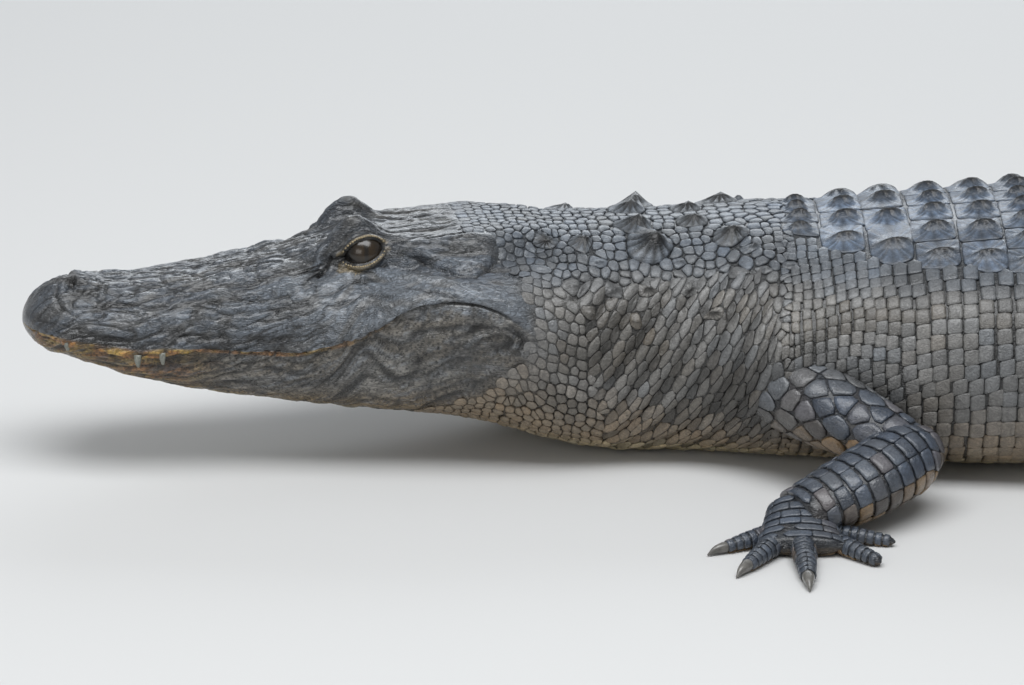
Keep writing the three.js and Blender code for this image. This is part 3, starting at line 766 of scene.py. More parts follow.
def makeBodySkin():
    s = bodyStations()
    g = halfShares(s)
    mouth = skin["upperColumns"]
    sheets, tones = [], []
    for sign in (-1, 1):
        station = np.broadcast_to(s[:, None], g.shape)
        run = -g * sign
        side, bare = skinSection(station, run)
        points = place(station, side, bare)
        normal = gridNormals(points, outward=sign)
        depth, dark = headRelief(station, run, side, bare)
        points = points + normal * depth[..., None]
        # the mouth: a line that goes in between the lips
        inward = skin["mouthDepth"] * (1 - ease(*skin["mouthEnd"], s))
        room = np.minimum(inward, np.abs(side[:, mouth]) * 0.6)
        between = (points[:, mouth - 1] + points[:, mouth + 1]) / 2
        points[:, mouth] = between - normal[:, mouth - 2] * room[:, None]
        head = headTone(station, run, bare, dark)
        # painted shade in the line of the mouth
        head[:, mouth] = mix(head[:, mouth], palette["groove"], 1 - ease(*skin["mouthEnd"], s))
        edge = station - neckEdge(bare)
        # painted shade: the skin under the scales is darkened where it shows between them
        rest = trunkTone(station, run, bare) * (0.55 - 0.3 * ease(10, 80, edge))[..., None]
        tones.append(mix(head, rest, ease(-14, 8, edge + 6 * noise(station / 9, run / 9, 32))))
        sheets.append(points)
    # black specks, mostly on the lower jaw
    speck = 0.2 + 0.75 * (1 - ease(-3, 3, bare - body["lip"](station))) * ease(6, 30, station)
    speck = (speck * (1 - ease(375, 400, station)))[..., None] * np.ones(3)
    speck = np.concatenate([speck, speck[:, 1:-1][:, ::-1]], axis=1).reshape(-1, 3)
    left, right = sheets
    right = right[:, 1:-1][:, ::-1]
    points = np.concatenate([left, right], axis=1)
    tone = np.concatenate([tones[0], tones[1][:, 1:-1][:, ::-1]], axis=1)
    full = points.shape[1]
    points, tone = settleLids(points.reshape(-1, 3), tone.reshape(-1, 3))
    points[:, 2] = np.maximum(points[:, 2], 0)

    # behind the head every second column is enough
    coarse = int(np.searchsorted(s, skin["coarseFrom"]))
    index = np.arange(len(s) * full).reshape(len(s), full)
    dense, sparse = index[:coarse], index[coarse:, ::2]
    quads = [gridFaces(coarse, full, closed=True), sparse.ravel()[gridFaces(*sparse.shape, closed=True)]]
    last, first = dense[-1], sparse[0]
    k = np.arange(len(first))
    onward, past = np.roll(first, -1), np.roll(last, -2)[::2]
    triangles = [
        np.stack([last[2 * k], first, last[2 * k + 1]], -1),
        np.stack([last[2 * k + 1], first, onward], -1),
        np.stack([last[2 * k + 1], onward, past], -1),
        fan(index[0], len(points)),
        fan(sparse[-1], len(points) + 1, turned=True),
    ]
    points = np.concatenate([points, [points[index[0]].mean(0), points[sparse[-1]].mean(0)]])
    tone, speck = np.concatenate([tone, tone[[0, -1]]]), np.concatenate([speck, speck[[0, -1]]])
    used = np.unique(np.concatenate([f.ravel() for f in quads + triangles]))
    renumber = np.full(len(points), -1)
    renumber[used] = np.arange(len(used))
    points, faces = outward(points[used], [renumber[f] for f in quads + triangles])
    return makeMesh("skin", points, faces, {"tone": tone[used], "speck": speck[used]})


# Limbs: tapered tubes through stops [x, y, z, half width, half height], given for the left side.

shoulder = [[545, -60, 80, 22, 26], [566, -88, 76, 33, 36]]
hip = [[1300, -50, 80, 34, 36], [1276, -92, 80, 52, 50]]
limbs = {
    "arm_left": {
        "sign": 1, "turn": 0, "kind": "arm",
        "upper": shoulder + [[612, -140, 68, 34, 33], [656, -177, 56, 29, 27], [692, -203, 44, 21, 20]],
        "lower": [[700, -192, 47, 17, 18], [680, -211, 42, 29, 28], [646, -239, 33, 33, 26],
                  [598, -266, 19, 27, 18]],
    },
    "arm_right": {
        "sign": -1, "turn": -12, "kind": "arm",
        "upper": shoulder + [[620, -136, 68, 34, 33], [668, -170, 56, 29, 27], [706, -194, 44, 21, 20]],
        "lower": [[713, -184, 47, 17, 18], [696, -205, 42, 29, 28], [668, -237, 33, 33, 26],
                  [624, -268, 19, 27, 18]],
    },
    "leg_left": {
        "sign": 1, "turn": 0, "kind": "leg",
        "upper": hip + [[1222, -166, 72, 52, 46], [1182, -222, 58, 40, 38], [1158, -262, 46, 24, 26]],
        "lower": [[1152, -244, 50, 20, 22], [1176, -262, 46, 34, 34], [1220, -286, 38, 33, 30],
                  [1276, -308, 23, 26, 22]],
    },
    "leg_right": {
        "sign": -1, "turn": 14, "kind": "leg",
        "upper": hip + [[1230, -168, 72, 52, 46], [1196, -226, 58, 40, 38], [1178, -266, 46, 24, 26]],
        "lower": [[1168, -250, 50, 20, 22], [1194, -266, 46, 34, 34], [1246, -286, 38, 33, 30],
                  [1308, -302, 23, 26, 22]],
    },
}
feet = {
    "arm": {"palm": (46, 31, 10), "web": 0.5, "names": ("upper_arm", "forearm", "hand"),
            "toes": [(30, 66, 8, 15), (60, 84, 9, 17), (91, 98, 9.5, 18), (132, 86, 8, 0), (165, 74, 7, 0)]},
    "leg": {"palm": (84, 33, 12), "web": 0.62, "names": ("thigh", "shank", "foot"),
            "toes": [(62, 138, 9.5, 18), (80, 160, 10, 20), (98, 164, 10, 18), (119, 146, 8.5, 0)]},
}
limbInset = {"upper": 2.2, "lower": 2.0, "palm": 1.2, "digit": 1.0}
clawGap = 0.4


def centripetal(stops, t):
    # the same curve as the solids: a centripetal spline with its ends carried straight on
    p = np.concatenate([[2 * stops[0] - stops[1]], stops, [2 * stops[-1] - stops[-2]]])
    at = t * (len(stops) - 1)
    i = np.minimum(np.floor(at).astype(int), len(stops) - 2)
    w = (at - i)[:, None]
    a, b, c, d = p[i], p[i + 1], p[i + 2], p[i + 3]
    gap = lambda u, v: np.maximum(np.linalg.norm(u - v, axis=1, keepdims=True), 1e-4) ** 0.5
    ab, bc, cd = gap(a, b), gap(b, c), gap(c, d)
    first = ((b - a) / ab - (c - a) / (ab + bc) + (c - b) / bc) * bc
    second = ((c - b) / bc - (d - b) / (bc + cd) + (d - c) / cd) * bc
    curve = -3 * b + 3 * c - 2 * first - second
    return b + first * w + curve * w ** 2 + (2 * b - 2 * c + first + second) * w ** 3


def makeTube(stops, rings, sides, inset=0.0, roundEnd=0.0):
    # rings of points from the root to the tip; the first column runs along the underside
    stops = np.array(stops, float)
    t = np.linspace(0, 1, rings)
    centre = centripetal(stops[:, :3], t)
    share = np.arange(len(stops)) / (len(stops) - 1)
    wide = track(np.stack([share, stops[:, 3]], -1))(t) - inset
    high = track(np.stack([share, stops[:, 4]], -1))(t) - inset
    along = unit(np.gradient(centre, axis=0))
    across = unit(np.cross(along, [0, 0, 1]))
    up = np.cross(across, along)
    run = np.concatenate([[0], np.cumsum(np.linalg.norm(np.diff(centre, axis=0), axis=1))])
    if roundEnd:
        left = np.clip((run[-1] - run) / roundEnd, 0.02, 1)
        close = np.sqrt(1 - (1 - left) ** 2)
        wide, high = wide * close, high * close
    angle = np.linspace(0, 2 * np.pi, sides, endpoint=False) - np.pi / 2
    points = (centre[:, None] + across[:, None] * (wide[:, None] * np.cos(angle))[..., None]
              + up[:, None] * (high[:, None] * np.sin(angle))[..., None])
    points[..., 2] = np.maximum(points[..., 2], 0)
    girth = np.linalg.norm(np.roll(points, -1, axis=1) - points, axis=2).sum(1)
    return {"points": points, "run": run, "girth": girth}


def limbTubes(limb):
    foot = feet[limb["kind"]]
    mirror = lambda stop: [stop[0], stop[1] * limb["sign"], *stop[2:]]
    wrist = limb["lower"][-1]

    def reach(angle, distance, z, wide=0.0, high=0.0):
        a = math.radians(angle + limb["turn"])
        return mirror([wrist[0] - distance * math.cos(a), wrist[1] - distance * math.sin(a), z, wide, high])

    length, wide, high = foot["palm"]
    heel = mirror([wrist[0], wrist[1] + 6, wrist[2], wrist[3] * 0.9, wrist[4] * 0.9])
    palm = [heel, reach(90, length / 2, 11, wide, high * 1.2),
            reach(90, length, 8, wide * 1.12, high * 0.85)]
    tubes = [
        ("upper", makeTube([mirror(s) for s in limb["upper"]], 44, 32, limbInset["upper"])),
        ("lower", makeTube([mirror(s) for s in limb["lower"]], 36, 28, limbInset["lower"])),
        ("palm", makeTube(palm, 20, 28, limbInset["palm"], roundEnd=6)),
    ]
    claws = []
    for angle, far, r, claw in foot["toes"]:
        stops = [reach(angle, 16, 9, r * 1.15, r), reach(angle, far * 0.62, r * 0.85, r * 0.95, r * 0.9),
                 reach(angle, far, r * 0.55, r * 0.62, r * 0.6)]
        tubes.append(("digit", makeTube(stops, 26, 16, limbInset["digit"], roundEnd=2.5 if claw else 6)))
        if claw:
            start = far - 3.5
            claws.append([reach(angle, start, r * 0.6, r * 0.42, r * 0.42),
                          reach(angle, far + clawGap, r * 0.6, r * 0.5, r * 0.53),
                          reach(angle, far + claw * 0.55, r * 0.5, r * 0.34, r * 0.38),
                          reach(angle, far + claw, 1.2, 0.5, 0.6)])
    neighbours = zip(foot["toes"][:-1], foot["toes"][1:])
    webs = [makeWeb(a, b, foot["web"], length * 0.6, reach) for a, b in neighbours]
    return tubes, webs, claws


def makeWeb(first, second, share, inset, reach):
    # a thin sheet between two toes, with a hollow front edge
    steps, sheets = 9, []
    edge = np.array(reach((first[0] + second[0]) / 2, share * (first[1] + second[1]) * 0.36, 0))[:2]
    a0, a1 = (np.array(reach(first[0], d, 0))[:2] for d in (inset, first[1] * share))
    b0, b1 = (np.array(reach(second[0], d, 0))[:2] for d in (inset, second[1] * share))
    k = np.linspace(0, 1, steps)[:, None]
    front = a1 * (1 - k) ** 2 + edge * 2 * k * (1 - k) + b1 * k ** 2
    back = a0 * (1 - k) + b0 * k
    depth = np.linspace(0, 1, steps)[:, None, None]
    plane = back[None] * (1 - depth) + front[None] * depth
    sag = 1.4 * np.sin(np.pi * k[:, 0])[None, :] * np.ones((steps, 1))
    for z in (1.4, 4.6):
        sheets.append(np.concatenate([plane, (z - sag * (z > 2))[..., None]], axis=-1))
    return np.stack(sheets)


def closeTube(tube):
    points = tube["points"]
    rings, sides = points.shape[:2]
    flat = points.reshape(-1, 3)
    ends = [points[0].mean(0), points[-1].mean(0)]
    ring = np.arange(sides)
    faces = [gridFaces(rings, sides, closed=True), fan(ring, len(flat)),
             fan(ring + (rings - 1) * sides, len(flat) + 1, turned=True)]
    return outward(np.concatenate([flat, ends]), faces)


def closeSheet(sheet):
    # two layers of a grid, joined round their edge
    n = sheet.shape[1]
    flat = sheet.reshape(-1, 3)
    edge = np.concatenate([np.arange(n), np.arange(1, n) * n + n - 1, n * n - 2 - np.arange(n - 1),
                           n * np.arange(n - 2, 0, -1)])
    following = np.roll(edge, -1)
    wall = np.stack([edge, following, following + n * n, edge + n * n], -1)
    low = gridFaces(n, n)
    return outward(flat, [low, low[:, ::-1] + n * n, wall])


def outward(points, faces):
    triangles = np.concatenate([f[:, [0, k, k + 1]] for f in faces for k in range(1, f.shape[1] - 1)])
    a, b, c = (points[triangles[:, k]] for k in range(3))
    if np.einsum("ij,ij->", a, np.cross(b, c)) < 0:
        faces = [f[:, ::-1] for f in faces]
    return points, faces


def shadeLimb(points, normals):
    # blue-black above and outside, tan and brown with dark blotches below
    x, y, z = points[..., 0], points[..., 1], points[..., 2]
    patches = roughNoise(x / 22, (y + z) / 18, 61)
    tone = mix(palette["armBlue"], palette["slate"], 0.25 + 0.35 * patches)
    tone = mix(tone, palette["pinkBrown"], 0.45 * ease(0.15, 0.6, roughNoise(x / 15, (y - z) / 13, 62)))
    under = ease(0.1, -0.5, normals[..., 2] + 0.25 * roughNoise(x / 13, y / 13, 63))
    blotch = ease(0.0, 0.25, roughNoise(x / 11, z / 9, 64))
    return mix(tone, mix(palette["armUnder"], palette["jawDark"], 0.8 * blotch), under)


def vertexNormals(points, faces):
    normals = np.zeros(points.shape)
    for f in faces:
        a, b, c = (points[f[:, k]] for k in range(3))
        n = np.cross(b - a, c - a)
        for k in range(f.shape[1]):
            np.add.at(normals, f[:, k], n)
    return unit(normals)


def healTone(mesh):
    # points made by the joining take the tone of the nearest old one
    count = len(mesh.vertices)
    tone, place_ = np.empty(count * 4, np.float32), np.empty(count * 3, np.float32)
    mesh.attributes["tone"].data.foreach_get("color", tone)
    mesh.vertices.foreach_get("co", place_)
    tone, place_ = tone.reshape(-1, 4)[:, :3], place_.reshape(-1, 3)
    lost = (tone.min(1) > 0.7) | (tone.max(1) < 1e-4)
    known = np.nonzero(~lost)[0]
    tree = nearestTree(place_[known])
    for k in np.nonzero(lost)[0]:
        tone[k] = tone[known[tree.find(place_[k])[1]]]
    setColour(mesh, "tone", tone)


def boolean(piece, others):
    for i, other in enumerate(others):
        modifier = piece.modifiers.new(f"join {i}", "BOOLEAN")
        modifier.operation, modifier.solver, modifier.object = "UNION", "MANIFOLD", other
    bakeModifiers(piece)
    for other in others:
        removePiece(other)
    polygons = piece.data.polygons
    polygons.foreach_set("use_smooth", np.ones(len(polygons), bool))


# Guides: the skin as grids of points and normals, on which each scale is laid by its place in the grid's own
# flat map: u along the body or limb, v round it.

def guideFrom(points, along, girth, margin, outwardSign):
    # hand is 1 where u, v and the outward normal are right-handed
    return {"points": points, "normals": gridNormals(points, outwardSign), "along": along, "girth": girth,
            "margin": margin, "hand": outwardSign}


def onGuide(guide, u, v, lift):
    i = np.interp(u, guide["along"], np.arange(len(guide["along"])))
    girth = np.interp(u, guide["along"], guide["girth"])
    j = (v / girth / guide["margin"] + 0.5) * (guide["points"].shape[1] - 1)
    normal = unit(bilinear(guide["normals"], i, j))
    return bilinear(guide["points"], i, j) + normal * lift[..., None], normal


def bodyGuide():
    s = np.arange(270, 2746, 6.0)
    girth = 2 * (upperAt(s) + lowerAt(s))
    margin = 1.1
    share = np.linspace(-0.5 * margin, 0.5 * margin, 221)
    points = skinPoint(s[:, None] + 0 * share, girth[:, None] * share)
    return guideFrom(points, s, girth, margin, -1)


def tubeGuide(tube):
    points = tube["points"]
    margin = 1.25
    sides = points.shape[1]
    share = np.linspace(-0.5 * margin, 0.5 * margin, 65)
    at = (share + 0.5) * sides
    wrapped = np.concatenate([points, points, points], axis=1)
    i = np.arange(len(points))[:, None] + 0 * at
    grid = bilinear(wrapped, i, at[None, :] + sides + 0 * i)
    guide = guideFrom(grid, tube["run"], tube["girth"], margin, 1)
    centre = points.mean(1)[:, None]
    if np.einsum("ijk,ijk->", guide["normals"], grid - centre) < 0:
        guide["normals"] = -guide["normals"]
        guide["hand"] = -guide["hand"]
    return guide


# Scales. Each is a closed plate whose outline is its own cell of the pattern, drawn between its neighbours.

# the shade of each ring is painted shade, darkest at the sunk rim between plates, with a slight painted
# highlight at the top
scale = {
    "profile": [(0.86, -0.6), (1.0, 0.0), (0.975, 0.5), (0.9, 0.84), (0.6, 0.98)],
    "shade": [0.25, 0.34, 0.74, 0.97, 1.0, 1.06],
    "keeledProfile": [(0.86, -0.6), (1.0, 0.0), (0.97, 0.5), (0.88, 0.82), (0.68, 0.94), (0.45, 1.0),
                      (0.22, 1.0)],
    "keeledShade": [0.25, 0.3, 0.66, 0.92, 1.0, 1.0, 1.0, 1.0],
    "corners": 12, "keeledCorners": 24, "cornerRound": 12.0, "gap": 0.22, "patch": 0.003, "atlas": 2900.0,
}


def cellReach(sites, girth, corners):
    # how far each plate reaches in each direction before it meets its neighbours' cells, and those
    # directions. Plates beside the seam below the belly meet those across it, and a banded plate keeps to
    # its own band.
    half = girth(sites["u"]) / 2
    near = np.nonzero(np.abs(sites["v"]) > half * 0.6)[0]
    count = len(sites["u"])
    across = sites["v"][near] - np.sign(sites["v"][near]) * 2 * half[near]
    u, v = np.append(sites["u"], sites["u"][near]), np.append(sites["v"], across)
    size = np.append(sites["size"], sites["size"][near])
    tree = nearestTree(np.stack([u, v, 0 * u], -1))
    near = np.array([[hit[1] for hit in tree.find_n((u[k], v[k], 0), 13)[1:]] for k in range(count)])
    own = np.arange(count)[:, None]
    banded = sites["band"][own] > 0
    mean = (sites["along"] + sites["across"])[own] / 2
    long, wide = sites["along"][own] / mean, sites["across"][own] / mean
    slant = sites["slant"][own]
    du, dv = u[near] - u[own], v[near] - v[own]
    onward = (du * np.cos(slant) + dv * np.sin(slant)) / long
    beside = (dv * np.cos(slant) - du * np.sin(slant)) / wide
    distance = np.hypot(onward, beside) + 1e-6
    share = size[own] / (size[own] + size[near])
    turn = np.arange(corners)[None, :] * 2 * np.pi / corners
    turn = turn + banded * 0.16 * np.sin(4 * turn)
    facing = onward[..., None] * np.cos(turn)[:, None] + beside[..., None] * np.sin(turn)[:, None]
    facing = facing / distance[..., None]
    wall = np.where(facing > 0.03, (distance * share)[..., None] / np.maximum(facing, 0.03), 1e6)
    wall = np.where((banded & (np.abs(onward) > 0.5 * mean))[..., None], 1e6, wall)
    strip = np.where(banded, 0.5 * mean / np.maximum(np.abs(np.cos(turn)), 1e-3), 1e6)
    walls = np.concatenate([wall, (0.85 * mean + 0 * turn)[:, None], strip[:, None]], axis=1)
    power = scale["cornerRound"]
    reach = (walls ** -power).sum(1) ** (-1 / power)
    x, y = reach * np.cos(turn) * long, reach * np.sin(turn) * wide
    return np.hypot(x, y), np.arctan2(y, x) + slant


def makeScales(name, guides, sites, keeled=False):
    # sites: a dictionary of arrays, one value for each scale
    corners = scale["keeledCorners" if keeled else "corners"]
    profile = scale["keeledProfile" if keeled else "profile"] + [(0.0, 1.0)]
    shades = scale["keeledShade" if keeled else "shade"]
    count = len(sites["u"])
    reach, angle = sites[f"reach{corners}"], sites[f"angle{corners}"]
    column = lambda key: sites[key][:, None]
    slant = column("slant")
    closer = 0.4 * column("column") * np.abs(np.sin(angle - slant)) ** 4
    reach = np.maximum(reach - scale["gap"] + closer, 0.3)
    width = reach.mean(1)[:, None]
    streak = np.where(np.arange(corners) % 2, 1.0, -1.0)[None, :] * column("streak")
    offsets, levels, edges = [], [], []
    for (fraction, level), shade in zip(profile, shades):
        turn = angle if fraction else angle[:, :1]
        out = reach * fraction if fraction else reach[:, :1] * 0
        x, y = out * np.cos(turn) * (1 - column("groove")), out * np.sin(turn)
        high = max(level, 0)
        # within a band of plates the edges between them are faint
        beside = np.abs(x * np.cos(slant) + y * np.sin(slant)) * 2 / column("along")
        faint = column("column") * (1 - ease(0.6, 0.95, beside)) if level >= 0 else 0.0
        rise = level + (1 - level) * faint * 0.93
        shade = shade + (1 - shade) * np.maximum(faint * 0.92, 0.55 * column("soft"))
        arc = np.clip(1.05 - 2.0 * (x / width - 0.15) ** 2, 0, 1) * high ** 2
        line = bell(y / width, 0.13) * arc
        ridge = 0.7 * line + 0.3 * bell(y / width, 0.3) * arc
        cone = (1 + (fraction / 0.42) ** 2) ** -1.2 * high
        lift = column("height") * rise + column("keel") * ridge + column("cone") * cone
        lift = lift + column("tilt") * x / width * high
        peak = np.where(column("cone") > 0, np.clip(1.6 * cone, 0, 1), bell(y / width, 0.18) * arc)
        tint = shade * (1 - column("dark") * np.clip(1.3 * peak, 0, 1))
        if 0.3 < fraction < 1:
            # painted shade in the radial grooves and a painted highlight on the ribs between them
            lift = lift + 0.3 * streak * high * (1 + 2 * (column("cone") > 0))
            tint = tint * (1 + 0.4 * streak)
        x = x + column("lean") * width * (1 - fraction) * (high > 0)
        offsets.append(np.stack([x, y], -1))
        levels.append(lift + 0 * x)
        edges.append(tint + 0 * x)
    offset, lift, shade = (np.concatenate(part, axis=1) for part in (offsets, levels, edges))
    u, v = sites["u"][:, None] + offset[..., 0], sites["v"][:, None] + offset[..., 1]
    points = np.empty(u.shape + (3,))
    for k, guide in enumerate(guides):
        own = sites["guide"] == k
        if own.any():
            points[own], _ = onGuide(guide, u[own], v[own], lift[own])
    points[..., 2] = np.maximum(points[..., 2], 0)
    # each ring's painted shade darkens the plate's colour towards its rim
    tone = sites["tone"][:, None] * shade[..., None]
    each = points.shape[1]
    rings = len(profile) - 1
    quads = gridFaces(rings, corners, closed=True)
    top = fan(np.arange(corners) + (rings - 1) * corners, rings * corners, turned=True)
    base = np.arange(1, corners - 1)
    bottom = np.stack([base, base + 1, base * 0], -1)
    start = np.arange(count)[:, None, None] * each
    hands = np.array([guide["hand"] for guide in guides])[sites["guide"]]
    faces = [(f[None, :, ::-hand] + start[hands == hand]).reshape(-1, f.shape[1])
             for hand in (-1, 1) for f in (quads, top, bottom)]
    piece = makeMesh(name, points.reshape(-1, 3), faces, {"tone": tone.reshape(-1, 3)})
    patch = offset / np.maximum(np.abs(offset).max((1, 2), keepdims=True), 1e-6) * scale["patch"] / 2
    mapped = np.stack([sites["mapU"], sites["mapV"]], -1)[:, None] + patch
    mapCorners(piece, mapped.reshape(-1, 2))
    return piece


def layRows(start, end, pitch, across, girthOf, low, high, stagger, jitter):
    # rows round the body or limb: low and high are the distances from its mid-line between which they lie
    us, vs = [], []
    u, row = start, 0
    while u < end:
        girth = girthOf(u)
        count = max(3, int(round(girth / across(u))))
        shift = 0.5 if (row % 2 and stagger) else 0.0
        v = ((np.arange(count) + shift) / count - 0.5) * girth
        keep = (np.abs(v) >= low(u)) & (np.abs(v) < high(u))
        v = v[keep]
        us.append(np.full(len(v), u) + random.normal(0, jitter, len(v)) * pitch(u) * 0.5)
        vs.append(v + random.normal(0, jitter, len(v)) * girth / count * 0.5)
        u += pitch(u)
        row += 1
    return np.concatenate(us), np.concatenate(vs)


# Materials. One grain serves the whole hide; each finish sets its own amounts.

def shaderGroup(name, inputs, outputs):
    tree = bpy.data.node_groups.new(name, "ShaderNodeTree")
    for label, kind, value in inputs:
        socket = tree.interface.new_socket(label, in_out="INPUT", socket_type=kind)
        if value is not None:
            socket.default_value = value
    for label, kind in outputs:
        tree.interface.new_socket(label, in_out="OUTPUT", socket_type=kind)
    return tree, tree.nodes.new("NodeGroupInput"), tree.nodes.new("NodeGroupOutput")


def addNode(tree, kind, links=(), **settings):
    # links is pairs of an input's name or number and the socket or value that feeds it
    node = tree.nodes.new(kind)
    for key, value in settings.items():
        setattr(node, key, value)
    for key, value in dict(links).items():
        if isinstance(value, bpy.types.NodeSocket):
            tree.links.new(value, node.inputs[key])
        else:
            node.inputs[key].default_value = value
    return node


def math2(tree, operation, a, b=0.0, clamp=False):
    return addNode(tree, "ShaderNodeMath", {0: a, 1: b}, operation=operation, use_clamp=clamp).outputs[0]


def creaseLines(tree, vector, size, sharp):
    # thin winding lines, 1 on the line and 0 beside it
    field = addNode(tree, "ShaderNodeTexNoise",
                    {"Vector": vector, "Scale": size, "Detail": 2.0, "Distortion": 0.5})
    away = math2(tree, "ABSOLUTE", math2(tree, "SUBTRACT", field.outputs["Fac"], 0.5))
    return math2(tree, "SUBTRACT", 1.0, math2(tree, "MULTIPLY", away, sharp), clamp=True)


def hideGrainGroup():
    tree, start, end = shaderGroup(
        "hide grain",
        [("Vector", "NodeSocketVector", None), ("Tone", "NodeSocketColor", None),
         ("Mottle", "NodeSocketFloat", 0.3), ("Specks", "NodeSocketFloat", 0.0),
         ("Lines", "NodeSocketFloat", 0.5), ("Pore Scale", "NodeSocketFloat", 900.0),
         ("Stretch", "NodeSocketFloat", 1.0), ("Roughness", "NodeSocketFloat", 0.4)],
        [("Color", "NodeSocketColor"), ("Roughness", "NodeSocketFloat"), ("Height", "NodeSocketFloat")])
    i = start.outputs
    stretched = addNode(tree, "ShaderNodeCombineXYZ", {0: i["Stretch"], 1: 1.0, 2: 1.0}).outputs[0]
    vector = addNode(tree, "ShaderNodeVectorMath", {0: i["Vector"], 1: stretched}, operation="MULTIPLY")
    vector = vector.outputs[0]
    blotch = addNode(tree, "ShaderNodeTexNoise",
                     {"Vector": vector, "Scale": 95.0, "Detail": 4.0, "Roughness": 0.62})
    fine = addNode(tree, "ShaderNodeTexNoise",
                   {"Vector": vector, "Scale": 520.0, "Detail": 3.0, "Roughness": 0.6})
    pores = addNode(tree, "ShaderNodeTexVoronoi", {"Vector": vector, "Scale": i["Pore Scale"]},
                    feature="DISTANCE_TO_EDGE")
    broad, narrow = creaseLines(tree, vector, 150.0, 22.0), creaseLines(tree, vector, 260.0, 16.0)
    lines = math2(tree, "MULTIPLY", math2(tree, "MAXIMUM", broad, narrow), i["Lines"])
    specks = addNode(tree, "ShaderNodeTexVoronoi", {"Vector": i["Vector"], "Scale": 300.0}, feature="F1")
    dot = addNode(tree, "ShaderNodeMapRange",
                  {0: specks.outputs["Distance"], 1: 0.22, 2: 0.38, 3: 1.0, 4: 0.0})
    dots = math2(tree, "MULTIPLY", dot.outputs[0], i["Specks"])
    wander = math2(tree, "MULTIPLY", math2(tree, "SUBTRACT", blotch.outputs["Fac"], 0.5), 1.3)
    spread = math2(tree, "MULTIPLY", math2(tree, "SUBTRACT", fine.outputs["Fac"], 0.5), 0.9)
    amount = math2(tree, "MULTIPLY", math2(tree, "ADD", wander, spread), i["Mottle"])
    gain = math2(tree, "ADD", math2(tree, "MULTIPLY", amount, 2.2), 1.0)
    # the crease lines darken the colour as painted shade; the specks are the hide's own
    shaded = math2(tree, "SUBTRACT", 1.0, math2(tree, "MULTIPLY", math2(tree, "MAXIMUM", dots, lines), 0.75))
    colour = addNode(tree, "ShaderNodeVectorMath", {0: i["Tone"]}, operation="SCALE")
    light = math2(tree, "MAXIMUM", math2(tree, "MULTIPLY", gain, shaded), 0.05)
    tree.links.new(light, colour.inputs["Scale"])
    ridge = math2(tree, "MULTIPLY", math2(tree, "MINIMUM", pores.outputs["Distance"], 0.25), 1.4)
    height = math2(tree, "ADD", math2(tree, "MULTIPLY", fine.outputs["Fac"], 1.0), ridge)
    height = math2(tree, "SUBTRACT", height, math2(tree, "MULTIPLY", lines, 0.8))
    change = math2(tree, "MULTIPLY", math2(tree, "SUBTRACT", blotch.outputs["Fac"], 0.5), 0.7)
    rough = math2(tree, "ADD", i["Roughness"], change, clamp=True)
    tree.links.new(colour.outputs[0], end.inputs["Color"])
    tree.links.new(rough, end.inputs["Roughness"])
    tree.links.new(height, end.inputs["Height"])
    return tree


hideGrain = hideGrainGroup()
finishes = {
    "smooth hide": {"Mottle": 0.36, "Specks": 0.0, "Lines": 0.7, "Pore Scale": 520.0, "Stretch": 0.4,
                    "Roughness": 0.34, "bump": 0.0009, "coat": 0.5, "coatRoughness": 0.2},
    "scale hide": {"Mottle": 0.42, "Specks": 0.1, "Lines": 0.35, "Pore Scale": 420.0, "Stretch": 0.8,
                   "Roughness": 0.42, "bump": 0.0006, "coat": 0.35, "coatRoughness": 0.24},
    "glossy hide": {"Mottle": 0.45, "Specks": 0.1, "Lines": 0.3, "Pore Scale": 380.0, "Stretch": 0.8,
                    "Roughness": 0.36, "bump": 0.0006, "coat": 0.5, "coatRoughness": 0.2},
}


def hideMaterial(name):
    finish = finishes[name]
    material = bpy.data.materials.new(name)
    material.use_nodes = True
    tree = material.node_tree
    tree.nodes.clear()
    spot = addNode(tree, "ShaderNodeTexCoord").outputs["Object"]
    turn = addNode(tree, "ShaderNodeMapping", {"Vector": spot})
    turn.inputs["Rotation"].default_value[2] = -math.radians(float(body["heading"](0)))
    tone = addNode(tree, "ShaderNodeAttribute", attribute_name="tone").outputs["Color"]
    speck = addNode(tree, "ShaderNodeAttribute", attribute_name="speck").outputs["Fac"]
    grain = tree.nodes.new("ShaderNodeGroup")
    grain.node_tree = hideGrain
    for key in ("Mottle", "Lines", "Pore Scale", "Stretch", "Roughness"):
        grain.inputs[key].default_value = finish[key]
    tree.links.new(math2(tree, "ADD", speck, finish["Specks"], clamp=True), grain.inputs["Specks"])
    tree.links.new(turn.outputs[0], grain.inputs["Vector"])
    tree.links.new(tone, grain.inputs["Tone"])
    bump = addNode(tree, "ShaderNodeBump", {"Strength": 0.9, "Distance": finish["bump"],
                                            "Height": grain.outputs["Height"]})
    shader = addNode(tree, "ShaderNodeBsdfPrincipled", {
        "Base Color": grain.outputs["Color"], "Roughness": grain.outputs["Roughness"],
        "Normal": bump.outputs[0], "Coat Weight": finish["coat"], "Coat Roughness": finish["coatRoughness"]})
    addNode(tree, "ShaderNodeOutputMaterial", {"Surface": shader.outputs[0]})
    return material


